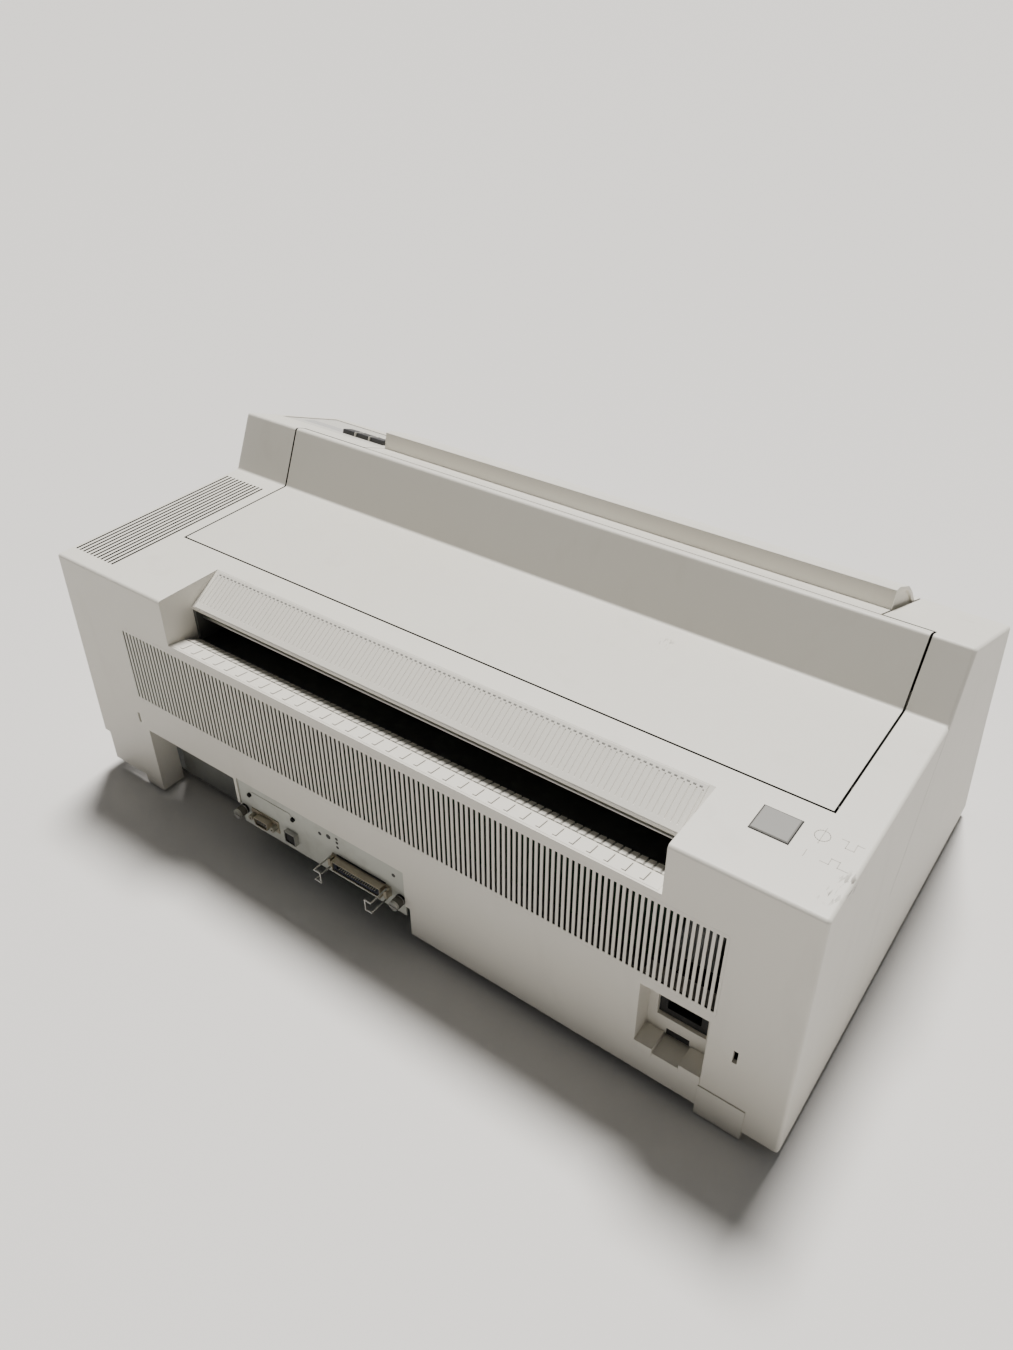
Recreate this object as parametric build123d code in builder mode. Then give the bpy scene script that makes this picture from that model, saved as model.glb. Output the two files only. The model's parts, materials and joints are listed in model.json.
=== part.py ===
"""Wide-carriage desktop printer: cased print mechanism with rear paper slot and interface module.

Millimetres, +Z up, +X to the user's right, the user's side at -Y and the connector side at +Y.
The origin is on the table, under the middle of the whole object.
"""
from build123d import *
from math import atan2, cos, degrees, hypot, radians, sin
import os

os.makedirs("parts", exist_ok=True)

# ---------------------------------------------------------------- driving dimensions
deck_half = 330.0          # half width of the case at deck level
side_flare = 4.7           # how far each side stands out at the bottom edge
rear_lean = 2.5            # how far the rear wall stands out at the bottom edge
wall = 3.0                 # moulded wall thickness
edge_radius = 2.5          # rounding of the outer edges
seam = 1.4                 # gap round lids and covers

rear_y = 192.6             # rear face of the case at deck level
case_z = 10.0              # bottom edge of the case above the table
deck_z = 223.8             # flat deck
hump_z = 271.8             # highest edge of the raised front part

crease_d = 194.8           # the depths are measured forward from the rear face
hump_d = 217.0
nose_d = 334.7
nose_z = 225.0
knee_d = 355.5
knee_z = 129.7
toe_d = 388.5
front_d = 408.3            # front edge of the paper table

recess_right = 202.7       # paper recess in the rear edge, +X end
recess_left = -234.8       # paper recess, -X end
ledge_z = 183.6
ledge_d = 15.5
ramp_low = (27.8, 205.2)
ramp_high_d = 58.9

lid_x0 = -301.1            # opening for the lid
lid_x1 = 266.4
lid_rear_d = 78.3
hump_seam_d = 226.5        # front edge of the lid opening on the hump
cover_x0 = -265.6          # opening for the front cover
cover_x1 = 194.6
cover_low_z = 116.0
mouth_x0 = -234.0          # front paper mouth
mouth_x1 = 192.0
mouth_z0 = 66.0

bay_x0 = 153.7             # open cable bay low in the rear wall
bay_x1 = 260.2
bay_top_z = 72.2
bay_depth = 20.0
module_x0 = -28.5          # opening for the interface module
module_x1 = 150.7
module_top_z = 74.0
plate_low_z = 26.0
plate_d0 = -0.9            # outer and inner face of the interface plate
plate_d1 = 0.3
pan_z0 = 10.8              # base pan
pan_z1 = 13.3

pocket_x0 = -276.7         # pocket round the power inlet
pocket_x1 = -227.7
pocket_z0 = 41.0
pocket_z1 = 97.7
pocket_depth = 14.0

slope = (hump_z - nose_z) / (nose_d - hump_d)      # fall of the hump's top towards the front
slope_angle = atan2(slope, 1.0)
running = 0.05             # radial clearance of a shaft in its bearing


def back(depth):
    """Y of a point at this depth forward of the rear face."""
    return rear_y - depth


def hump_surface(depth):
    """Height of the hump's sloping top."""
    return hump_z - slope * (depth - hump_d)


def front_face(z):
    """Depth of the front face below the knee and above it."""
    if z < knee_z:
        return knee_d + (toe_d - knee_d) * (knee_z - z) / (knee_z - case_z)
    return nose_d + (knee_d - nose_d) * (nose_z - z) / (nose_z - knee_z)


def side_half(z):
    """Half width of the case at a height."""
    return deck_half + side_flare * (deck_z - z) / (deck_z - case_z)


def case_corners(bottom):
    """Corners of the side view, with both ends carried straight down to a bottom height."""
    lean = rear_lean * (deck_z - bottom) / (deck_z - case_z)
    toe = front_face(bottom)
    corners = [(-lean, bottom), (0, deck_z), (crease_d, deck_z), (hump_d, hump_z)]
    corners += [(nose_d, nose_z), (knee_d, knee_z), (toe, bottom)]
    return [(back(d), z) for d, z in corners]


def block(x0, x1, d0, d1, z0, z1, mode=Mode.ADD):
    """A box between two X, two depths and two heights, added to the part being built."""
    centre = ((x0 + x1) / 2, (back(d0) + back(d1)) / 2, (z0 + z1) / 2)
    with Locations(centre):
        Box(abs(x1 - x0), abs(d1 - d0), abs(z1 - z0), mode=mode)


def side_prism(points, x0, x1, mode=Mode.ADD):
    """A prism along X from a side-view outline given as (depth, height) points."""
    with BuildSketch(Plane.YZ.offset(x0)) as outline:
        with BuildLine():
            Polyline(*[(back(d), z) for d, z in points], close=True)
        make_face()
    extrude(outline.sketch, amount=x1 - x0, mode=mode)


def rod_x(x0, x1, depth, z, radius, mode=Mode.ADD):
    """A round bar or bore along X."""
    with BuildSketch(Plane.YZ.offset(x0)) as circle:
        with Locations((back(depth), z)):
            Circle(radius)
    extrude(circle.sketch, amount=x1 - x0, mode=mode)


def rod_y(x, z, d0, d1, radius, mode=Mode.ADD):
    """A round bar or bore along Y, from depth d0 to depth d1."""
    with BuildSketch(Plane((0, back(d0), 0), x_dir=(1, 0, 0), z_dir=(0, -1, 0))) as circle:
        with Locations((x, z)):
            Circle(radius)
    extrude(circle.sketch, amount=d1 - d0, mode=mode)


def rod_z(x, depth, z0, z1, radius, mode=Mode.ADD):
    """A round bar or bore along Z."""
    with BuildSketch(Plane.XY.offset(z0)) as circle:
        with Locations((x, back(depth))):
            Circle(radius)
    extrude(circle.sketch, amount=z1 - z0, mode=mode)


def inset_path(points, distance):
    """An open path moved sideways, to the right of its direction in the (depth, height) plane."""
    lines = []
    for (d0, z0), (d1, z1) in zip(points, points[1:]):
        length = hypot(d1 - d0, z1 - z0)
        step = (distance * (z1 - z0) / length, -distance * (d1 - d0) / length)
        lines.append(((d0 + step[0], z0 + step[1]), (d1 - d0, z1 - z0)))
    moved = [lines[0][0]]
    for ((d0, z0), (u0, v0)), ((d1, z1), (u1, v1)) in zip(lines, lines[1:]):
        along = ((d1 - d0) * v1 - (z1 - z0) * u1) / (u0 * v1 - v0 * u1)
        moved.append((d0 + along * u0, z0 + along * v0))
    (last_d, last_z), (last_u, last_v) = lines[-1]
    moved.append((last_d + last_u, last_z + last_v))
    return moved


def save(builder, name):
    """Label a finished piece and write its file."""
    builder.part.label = name
    export_step(builder.part, f"parts/{name}.step")


# ---------------------------------------------------------------- upper case
far = 600.0                # longer than the object in any direction


def front_view(inset):
    """Corners of the front view of the case, drawn in by an inset."""
    low, high = -20.0, 320.0
    return [
        (-side_half(low) + inset, low),
        (side_half(low) - inset, low),
        (side_half(high) - inset, high),
        (-side_half(high) + inset, high),
    ]


with BuildPart() as case_body:
    with BuildSketch(Plane.YZ) as case_side:
        with BuildLine():
            Polyline(*case_corners(case_z), close=True)
        make_face()
        fillet(case_side.vertices().filter_by(lambda corner: corner.Y > case_z + 1), edge_radius)
    extrude(amount=deck_half + 2 * side_flare, both=True)
    with BuildSketch(Plane.XZ):
        with BuildLine():
            Polyline(*front_view(0), close=True)
        make_face()
    extrude(amount=far, both=True, mode=Mode.INTERSECT)
    side_edges = case_body.edges().filter_by(
        lambda edge: abs(edge.center().X) > deck_half - 3 and edge.center().Z > case_z + 0.5
    )
    fillet(side_edges, edge_radius)

# the recess the paper passes through, and the same recess with a wall round it
recess_outline = [
    (-12, ledge_z),
    (0, ledge_z),
    (ledge_d, ledge_z - 2.6),
    (ramp_low[0], ledge_z - 2.6),
    ramp_low,
    (ramp_high_d, deck_z),
    (ramp_high_d, deck_z + 12),
    (-12, deck_z + 12),
]
walled_recess_outline = [
    (-12, ledge_z - wall),
    (0, ledge_z - wall),
    (ledge_d, ledge_z - 2.6 - wall),
    (ramp_low[0] + wall, ledge_z - 2.6 - wall),
    (ramp_low[0] + wall, ramp_low[1] - wall * 0.6),
    (ramp_high_d + wall * 1.7, deck_z - wall * 0.9),
    (ramp_high_d + wall * 1.7, deck_z + 12),
    (-12, deck_z + 12),
]
step_z = 40.0              # the +X side steps inwards below this height
step_in = 9.2
side_step_x = side_half(case_z) - step_in

with BuildPart() as case_inside:
    with BuildSketch(Plane.YZ):
        with BuildLine():
            Polyline(*case_corners(case_z - 20), close=True)
        make_face()
        offset(amount=-wall, kind=Kind.INTERSECTION)
    extrude(amount=deck_half + 2 * side_flare, both=True)
    with BuildSketch(Plane.XZ):
        with BuildLine():
            Polyline(*front_view(wall), close=True)
        make_face()
    extrude(amount=far, both=True, mode=Mode.INTERSECT)
    side_prism(walled_recess_outline, recess_left - wall, recess_right + wall, Mode.SUBTRACT)
    block(bay_x0 - wall, bay_x1 + wall, -12, bay_depth, -12, bay_top_z + wall, Mode.SUBTRACT)
    block(pocket_x0 - wall, pocket_x1 + wall, -12, pocket_depth + wall,
          pocket_z0 - 9, pocket_z1 + wall, Mode.SUBTRACT)
    block(side_step_x - wall, far, -far, far, -20, step_z + wall, Mode.SUBTRACT)

# standing walls round the lid and cover openings, cut to the shape of the case
with BuildPart() as opening_walls:
    block(lid_x1, lid_x1 + wall, lid_rear_d - wall, hump_seam_d + wall, 205, 300)
    block(lid_x0 - wall, lid_x0, lid_rear_d - wall, hump_seam_d + wall, 205, 300)
    block(lid_x0 - wall, lid_x1 + wall, lid_rear_d - wall, lid_rear_d, 212, 300)
    block(cover_x1, lid_x1 + wall, hump_seam_d, hump_seam_d + wall, 205, 300)
    block(lid_x0 - wall, cover_x0, hump_seam_d, hump_seam_d + wall, 205, 300)
    for x_low in (cover_x1, cover_x0 - wall):
        block(x_low, x_low + wall, hump_seam_d, 345, 205, 300)
        block(x_low, x_low + wall, 338, 380, cover_low_z - 6, 300)
    add(case_body.part, mode=Mode.INTERSECT)

cover_pivot_d = 351.5      # the front cover tips forward on these pins
cover_pivot_z = 125.5
lid_pivot_d = lid_rear_d + seam + 7.5
lid_pivot_z = deck_z - 4.0
pin_radius = 2.0
table_pivot_d = 381.5
table_pivot_z = 56.0
table_half = 315.5
lug_width = 6.0

button_x = -276.9
button_d = 50.2
button_x_size = 23.4
button_d_size = 21.6
button_gap = 0.7

vent_x0 = -279.5           # rear ventilation grille
vent_x1 = 264.5
vent_z0 = 105.0
vent_z1 = 178.0

louvre_count = 11
louvre_pitch = 4.53
louvre_first_x = 278.9
louvre_width = 2.0

panel_x = 261.0            # centre of the operator panel
panel_d = 287.0
panel_width = 121.0
panel_length = 74.0
panel_plane = Plane(
    origin=(panel_x, back(panel_d), hump_surface(panel_d)),
    x_dir=(1, 0, 0),
    z_dir=(0, -sin(slope_angle), cos(slope_angle)),
)

thumb_x = (146.2, -24.1)   # captive screws of the interface module
thumb_z = 42.5
shank_radius = 1.5

# a shallow line on both sides, from the crease down and rearwards
groove_ends = ((crease_d, deck_z), (143.0, 115.6))
groove_half = 0.45
with BuildPart() as side_grooves:
    top_d, top_z = groove_ends[0]
    low_d, low_z = groove_ends[1]
    groove_outline = [(top_d - groove_half, top_z), (top_d + groove_half, top_z),
                      (low_d + groove_half, low_z), (low_d - groove_half, low_z)]
    side_prism(groove_outline, -350, 350)
    with BuildSketch(Plane.XZ):
        with BuildLine():
            Polyline(*front_view(0.9), close=True)
        make_face()
    extrude(amount=far, both=True, mode=Mode.SUBTRACT)

with BuildPart() as upper_case:
    add(case_body.part)
    add(case_inside.part, mode=Mode.SUBTRACT)
    # rear recess and its slot
    side_prism(recess_outline, recess_left, recess_right, Mode.SUBTRACT)
    block(recess_left, recess_right, ledge_d, ramp_low[0] + wall + 0.6, 170, ramp_low[1] - 2.2, Mode.SUBTRACT)
    # lid and front cover openings, then their walls
    block(lid_x0, lid_x1, lid_rear_d, hump_seam_d, deck_z - 15, 300, Mode.SUBTRACT)
    block(cover_x0, cover_x1, hump_seam_d - 2, 420, cover_low_z, 300, Mode.SUBTRACT)
    block(mouth_x0, mouth_x1, 300, 420, mouth_z0, cover_low_z + 1, Mode.SUBTRACT)
    add(opening_walls.part)
    # cable bay, open below, and the interface module's opening
    block(bay_x0, bay_x1, -12, bay_depth + 1, -12, bay_top_z, Mode.SUBTRACT)
    block(module_x0, module_x1, -12, wall + 1, -12, module_top_z, Mode.SUBTRACT)
    block(module_x0 - 4.5, module_x1, -12, wall + 1, -12, 38, Mode.SUBTRACT)
    # power inlet pocket: inlet hole, lead notch, and a raised lip below
    block(pocket_x0, pocket_x1, -12, pocket_depth, pocket_z0, pocket_z1, Mode.SUBTRACT)
    block(-270.6, -234.6, pocket_depth - 2, pocket_depth + wall + 1, 56.2, 84.2, Mode.SUBTRACT)
    block(-261.2, -241.4, -12, pocket_depth, 36.0, pocket_z0 + 1, Mode.SUBTRACT)
    block(-261.2, -241.4, pocket_depth - 2, pocket_depth + wall + 1, 36.0, pocket_z0 - 0.5, Mode.SUBTRACT)
    for lip_x0, lip_x1 in ((pocket_x0, -261.2), (-241.4, pocket_x1)):
        block(lip_x0, lip_x1, -3.0, 0, 33.0, pocket_z0)
    # the +X side steps in near the bottom
    block(side_step_x, far, -far, far, -20, step_z, Mode.SUBTRACT)
    # rear legs
    block(bay_x1, 283.0, -rear_lean, bay_depth, 2, case_z + 3)
    block(-309.5, -276.0, -rear_lean - 0.7, bay_depth, 2, case_z + 3)
    block(-309.5, -276.0, -rear_lean - 0.7, 0, 2, 32)
    # seats for the rear grille, the power button and the operator panel
    block(vent_x0, vent_x1, -12, wall + 3, vent_z0, vent_z1, Mode.SUBTRACT)
    block(button_x - button_x_size / 2 - button_gap, button_x + button_x_size / 2 + button_gap,
          button_d - button_d_size / 2 - button_gap, button_d + button_d_size / 2 + button_gap,
          deck_z - wall - 1, deck_z + 1, Mode.SUBTRACT)
    with BuildSketch(panel_plane):
        Rectangle(panel_width, panel_length)
    extrude(amount=wall + 2, both=True, mode=Mode.SUBTRACT)
    # deck louvres
    for index in range(louvre_count):
        louvre_x = louvre_first_x + index * louvre_pitch
        block(louvre_x - louvre_width / 2, louvre_x + louvre_width / 2, 15, 179,
              deck_z - wall - 1, deck_z + 1, Mode.SUBTRACT)
    # two latch slots in the rear wall
    block(268.2, 271.4, -6, wall + 2, 77.0, 87.0, Mode.SUBTRACT)
    block(-297.6, -294.4, -6, wall + 2, 72.5, 84.0, Mode.SUBTRACT)
    # bearings of the lid, the front cover and the paper table
    for x_low in (lid_x1 - 1, lid_x0 - wall - 1):
        rod_x(x_low, x_low + wall + 2, lid_pivot_d, lid_pivot_z, pin_radius + running, Mode.SUBTRACT)
    for x_low in (cover_x1 - 1, cover_x0 - wall - 1):
        rod_x(x_low, x_low + wall + 2, cover_pivot_d, cover_pivot_z, pin_radius + running, Mode.SUBTRACT)
    for side in (-1, 1):
        lug_x0, lug_x1 = sorted((side * (table_half + 1), side * (table_half + 1 + lug_width)))
        block(lug_x0, lug_x1, 370, 386.5, 50.5, 61.5)
        rod_x(lug_x0 - 1, lug_x1 + 1, table_pivot_d, table_pivot_z, pin_radius + running, Mode.SUBTRACT)
    # the post between the cable bay and the module stops above the captive screw
    block(module_x1 - 1, bay_x0 + 0.5, -12, bay_depth + wall, -12, 46.0, Mode.SUBTRACT)
    # bosses that the captive screws of the interface module turn in
    block(141.5, bay_x0, plate_d1, 10, 37.5, 51.5)
    block(module_x0 - 7, -19.5, plate_d1, 10, 37.5, 47.5)
    # pads on the side walls that stand on the base pan
    for pad_d in (30.0, 300.0):
        block(-333.0, -323.0, pad_d, pad_d + 12, pan_z1, 40)
        block(312.0, 324.0, pad_d, pad_d + 12, pan_z1, 42)
    for screw_x in thumb_x:
        rod_y(screw_x, thumb_z, -1, 12, shank_radius + running, Mode.SUBTRACT)
    add(side_grooves.part, mode=Mode.SUBTRACT)
save(upper_case, "upper_case")

# ---------------------------------------------------------------- base pan and feet
post_radius = 3.0
board_posts = ((-188.0, 92.0), (138.0, 92.0), (-188.0, 268.0), (138.0, 268.0))
main_board_z = 18.0
interface_posts = ((-15.0, 28.0), (138.0, 28.0), (-15.0, 68.0), (138.0, 68.0))
interface_board_z = 30.0

with BuildPart() as base_pan:
    block(-328, 319, 21, 384, pan_z0, pan_z1)
    block(-275, -30, 4, 21, pan_z0, pan_z1)
    block(150, 254.5, 21, 23, pan_z0, 74)
    for post_x, post_d in board_posts:
        rod_z(post_x, post_d, pan_z0, main_board_z, post_radius)
    for post_x, post_d in interface_posts:
        rod_z(post_x, post_d, pan_z0, interface_board_z, post_radius)
save(base_pan, "base_pan")

foot_radius = 10.0
with BuildPart() as rubber_feet:
    for foot_x in (-280, 280):
        for foot_d in (45, 350):
            rod_z(foot_x, foot_d, 0, pan_z0, foot_radius)
save(rubber_feet, "rubber_feet")

# ---------------------------------------------------------------- rear grille
slot_count = 127
slot_pitch = 4.27
slot_width = 2.1
slot_margin = 3.0
slat_thickness = 1.3


def rear_surface(z):
    """Depth of the leaning rear wall at a height."""
    return -rear_lean * (deck_z - z) / (deck_z - case_z)


with BuildPart() as rear_vent_grille:
    grille_outline = [
        (rear_surface(vent_z0), vent_z0),
        (rear_surface(vent_z1), vent_z1),
        (rear_surface(vent_z1) + slat_thickness, vent_z1),
        (rear_surface(vent_z0) + slat_thickness, vent_z0),
    ]
    side_prism(grille_outline, vent_x0, vent_x1)
    with BuildSketch(Plane.XZ.offset(-back(-10))):
        with Locations(((vent_x0 + vent_x1) / 2, (vent_z0 + vent_z1) / 2)):
            with GridLocations(slot_pitch, 1, slot_count, 1):
                Rectangle(slot_width, vent_z1 - vent_z0 - 2 * slot_margin)
    extrude(amount=20, mode=Mode.SUBTRACT)
save(rear_vent_grille, "rear_vent_grille")

# ---------------------------------------------------------------- lid
with BuildPart() as lid:
    add(case_body.part)
    add(case_inside.part, mode=Mode.SUBTRACT)
    block(lid_x0 + seam, lid_x1 - seam, lid_rear_d + seam, hump_seam_d - seam,
          deck_z - 8, hump_z + 5, Mode.INTERSECT)
    for ear_x0, pin_end in ((lid_x1 - seam - wall, lid_x1 + 2.2), (lid_x0 + seam, lid_x0 - 2.2)):
        block(ear_x0, ear_x0 + wall, lid_pivot_d - 4, lid_pivot_d + 4, lid_pivot_z - 5, deck_z - 2)
        rod_start, rod_end = sorted((ear_x0 + wall / 2, pin_end))
        rod_x(rod_start, rod_end, lid_pivot_d, lid_pivot_z, pin_radius)
save(lid, "lid")

# ---------------------------------------------------------------- front cover
cover_bottom_z = 118.2
cover_rear_d = 227.0
ridge_rear_d = 251.8
cover_skin = [
    (ridge_rear_d, hump_surface(ridge_rear_d)),
    (255.5, 271.6),
    (264.0, 270.2),
    (289.5, 258.0),
    (302.7, 246.7),
    (315.9, 232.5),
    (nose_d, nose_z),
    (knee_d, knee_z),
]
cover_outline = [(cover_rear_d, cover_bottom_z), (cover_rear_d, hump_surface(cover_rear_d))]
cover_outline += cover_skin + [(front_face(cover_bottom_z), cover_bottom_z)]
skin_path = [(200.0, hump_surface(200.0))] + cover_skin + [(front_face(60.0), 60.0)]
hollow_outline = inset_path(skin_path, wall) + [(200.0, 60.0)]

with BuildPart() as front_cover:
    side_prism(cover_outline, cover_x0 + seam, cover_x1 - seam)
    side_prism(hollow_outline, cover_x0, cover_x1, Mode.SUBTRACT)
    # end plates under the ridge, set in a little from each end
    end_outline = [(ridge_rear_d, 236.0), cover_skin[0], cover_skin[1], cover_skin[2],
                   cover_skin[3], cover_skin[4], cover_skin[5], (315.9, 229.0), (290.0, 229.0)]
    for plate_x0 in (cover_x1 - seam - 2 - wall, cover_x0 + seam + 2):
        side_prism(end_outline, plate_x0, plate_x0 + wall)
    for ear_x0, pin_end in ((cover_x1 - seam - wall, cover_x1 + 2.2), (cover_x0 + seam, cover_x0 - 2.2)):
        block(ear_x0, ear_x0 + wall, cover_pivot_d - 4, cover_pivot_d + 4,
            cover_pivot_z - 4.5, cover_pivot_z + 4.5)
        rod_start, rod_end = sorted((ear_x0 + wall / 2, pin_end))
        rod_x(rod_start, rod_end, cover_pivot_d, cover_pivot_z, pin_radius)
save(front_cover, "front_cover")

# ---------------------------------------------------------------- front paper table
with BuildPart() as front_table:
    block(-table_half, table_half, table_pivot_d - 3, front_d, table_pivot_z - 3, table_pivot_z + 3)
    block(-table_half, table_half, front_d - 4, front_d, table_pivot_z + 3, table_pivot_z + 12)
    for rib_x0 in (-table_half, table_half - wall):
        block(rib_x0, rib_x0 + wall, 395, front_d, table_pivot_z + 3, table_pivot_z + 7)
    for pin_x0 in (-table_half - 6.6, table_half):
        rod_x(pin_x0, pin_x0 + 6.6, table_pivot_d, table_pivot_z, pin_radius)
save(front_table, "front_table")

# ---------------------------------------------------------------- operator panel
panel_gap = 0.5
panel_inset = 0.6
key_x_size = 14.8
key_y_size = 12.0
key_height = 3.6
key_gap = 0.3
key_columns = (-10.8, -27.8, -44.8)
key_v = 17.0               # the row of keys lies this far from the panel's middle, towards the hump
divider_width = 1.2        # upright ribs between the keys
window_place = (26.0, 12.0)
window_x_size = 52.0
window_y_size = 18.0

with BuildPart() as operator_panel:
    with BuildSketch(panel_plane.offset(-wall)):
        Rectangle(panel_width - 2 * panel_gap, panel_length - 2 * panel_gap)
    extrude(amount=wall - panel_inset)
    with BuildSketch(panel_plane.offset(-wall - 1.5)):
        Rectangle(panel_width + 4, panel_length + 4)
    extrude(amount=1.5)
    with BuildSketch(panel_plane.offset(-wall - 2)):
        for key_u in key_columns:
            with Locations((key_u, key_v)):
                Rectangle(key_x_size + 2 * key_gap, key_y_size + 2 * key_gap)
    extrude(amount=wall + 4, mode=Mode.SUBTRACT)
    with BuildSketch(panel_plane.offset(-wall)):
        for left_u, right_u in zip(key_columns, key_columns[1:]):
            with Locations(((left_u + right_u) / 2, key_v)):
                Rectangle(divider_width, key_y_size + 2 * key_gap + 2)
    extrude(amount=wall + key_height)
    with BuildSketch(panel_plane.offset(-2.0)):
        with Locations(window_place):
            Rectangle(window_x_size, window_y_size)
    extrude(amount=4, mode=Mode.SUBTRACT)
save(operator_panel, "operator_panel")

with BuildPart() as display_window:
    with BuildSketch(panel_plane.offset(-2.0)):
        with Locations(window_place):
            Rectangle(window_x_size, window_y_size)
    extrude(amount=2.0 - panel_inset)
save(display_window, "display_window")

for key_number, key_u in enumerate(key_columns, start=1):
    with BuildPart() as key:
        with BuildSketch(panel_plane.offset(-wall - 1.6)):
            with Locations((key_u, key_v)):
                Rectangle(key_x_size, key_y_size)
        extrude(amount=wall + 1.6 + key_height)
        top_rim = key.edges().group_by(Axis(origin=(0, 0, 0), direction=panel_plane.z_dir))[-1]
        chamfer(top_rim, 0.6)
        with BuildSketch(panel_plane.offset(-wall - 3.1)):
            with Locations((key_u, key_v)):
                Rectangle(key_x_size + 1.4, key_y_size + 2)
        extrude(amount=1.5)
    save(key, f"key_{key_number}")

# ---------------------------------------------------------------- power button and its switch
button_x_range = (button_x - button_x_size / 2, button_x + button_x_size / 2)
button_d_range = (button_d - button_d_size / 2, button_d + button_d_size / 2)
stem_radius = 4.0
switch_top_z = 213.0

with BuildPart() as power_button:
    block(*button_x_range, *button_d_range, 218.6, deck_z + 1.0)
    chamfer(power_button.edges().group_by(Axis.Z)[-1], 0.7)
    block(button_x_range[0] - 1.8, button_x_range[1] + 1.8, button_d_range[0] - 1.7, button_d_range[1] + 1.7,
          218.6, 220.5)
    rod_z(button_x, button_d, 208, 219, stem_radius)
save(power_button, "power_button")

with BuildPart() as power_switch:
    block(button_x - 9, button_x + 9, button_d - 13, button_d + 13, 175, switch_top_z)
    block(-294, -259.5, 40, 60, switch_top_z - 2, switch_top_z)
    for plate_x0 in (-294.0, -262.0):
        block(plate_x0, plate_x0 + 2.5, 40, 60, switch_top_z - 2, deck_z - wall)
    rod_z(button_x, button_d, 203, switch_top_z + 1, stem_radius + 0.1, Mode.SUBTRACT)
save(power_switch, "power_switch")

# ---------------------------------------------------------------- power inlet and supply
inlet_x = -252.6
inlet_z = 70.2
inlet_d = pocket_depth + wall
with BuildPart() as power_inlet:
    block(inlet_x - 21, inlet_x + 21, inlet_d, inlet_d + 3, inlet_z - 16.5, inlet_z + 16.5)
    block(inlet_x - 15.5, inlet_x + 15.5, inlet_d + 2, 44, inlet_z - 12, inlet_z + 12)
    with BuildSketch(Plane((0, back(inlet_d - 1), 0), x_dir=(1, 0, 0), z_dir=(0, -1, 0))):
        with Locations((inlet_x, inlet_z)):
            socket = Rectangle(24.5, 16.5)
        chamfer(socket.vertices().group_by(Axis.Y)[-1], 4.5)
    extrude(amount=22, mode=Mode.SUBTRACT)
save(power_inlet, "power_inlet")

with BuildPart() as inlet_pins:
    for pin_x, pin_z in ((inlet_x, inlet_z + 2), (inlet_x - 7, inlet_z - 2), (inlet_x + 7, inlet_z - 2)):
        block(pin_x - 1, pin_x + 1, 25, 38, pin_z - 2, pin_z + 2)
save(inlet_pins, "inlet_pins")

with BuildPart() as power_supply:
    block(-322, -256, 48, 225, pan_z1, 98)
    block(-321, -257, 49, 224, pan_z1 - 1, 97, Mode.SUBTRACT)
save(power_supply, "power_supply")

# ---------------------------------------------------------------- paper guide inside the slot
comb_pitch = 5.95
comb_count = 73
comb_groove = 2.6
guide_top = [(15.6, 181.2), (27.0, 175.5), (95.0, 170.0)]
with BuildPart() as rear_paper_guide:
    side_prism([(d, z) for d, z in guide_top] + [(95.0, 168.0), (27.0, 171.9), (15.6, 177.6)],
               recess_left, recess_right)
    comb_fall = atan2(guide_top[0][1] - guide_top[1][1], guide_top[1][0] - guide_top[0][0])
    comb_plane = Plane(
        origin=((recess_left + recess_right) / 2, back(guide_top[0][0]), guide_top[0][1]),
        x_dir=(1, 0, 0),
        z_dir=(0, -sin(comb_fall), cos(comb_fall)),
    )
    with BuildSketch(comb_plane.offset(-1.8)):
        with GridLocations(comb_pitch, 1, comb_count, 1):
            Rectangle(comb_groove, 25)
    extrude(amount=6, mode=Mode.SUBTRACT)
    for cheek_x0, cheek_x1 in ((recess_right - 3.2, recess_right), (recess_left, recess_left + 3.2)):
        side_prism([(28.4, 172.5), (95, 168.5), (95, 203), (28.4, 203)], cheek_x0, cheek_x1)
save(rear_paper_guide, "rear_paper_guide")

with BuildPart() as rear_guide_rod:
    rod_x(recess_left + 3.2, recess_right - 3.2, 35.5, 193.2, 1.5)
save(rear_guide_rod, "rear_guide_rod")

# ---------------------------------------------------------------- interface module
serial_place = (122.0, 42.0)
usb_place = (91.0, 41.5)
parallel_place = (16.0, 44.5)
indicator_z = (68.0, 64.0, 59.0)
with BuildPart() as interface_plate:
    block(module_x0 + 0.5, module_x1 - 0.7, plate_d0, plate_d1, plate_low_z, module_top_z - 0.5)
    block(serial_place[0] - 8.6, serial_place[0] + 8.6, -5, 5, serial_place[1] - 4.3, serial_place[1] + 4.3,
          Mode.SUBTRACT)
    block(usb_place[0] - 6.1, usb_place[0] + 6.1, -5, 5,
        usb_place[1] - 5.85, usb_place[1] + 5.85, Mode.SUBTRACT)
    block(parallel_place[0] - 25.2, parallel_place[0] + 25.2, -5, 5, parallel_place[1] - 5.1,
          parallel_place[1] + 5.1, Mode.SUBTRACT)
    for light_z in indicator_z:
        rod_y(39.6, light_z, -5, 5, 1.2, Mode.SUBTRACT)
    for hole_x, hole_z, hole_radius in ((58.0, 63.7, 1.5), (48.6, 65.6, 2.0), (-18.0, 64.0, 1.5)):
        rod_y(hole_x, hole_z, -5, 5, hole_radius, Mode.SUBTRACT)
    for screw_x in thumb_x:
        rod_y(screw_x, thumb_z, -5, 5, shank_radius + 0.1, Mode.SUBTRACT)
save(interface_plate, "interface_plate")

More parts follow.
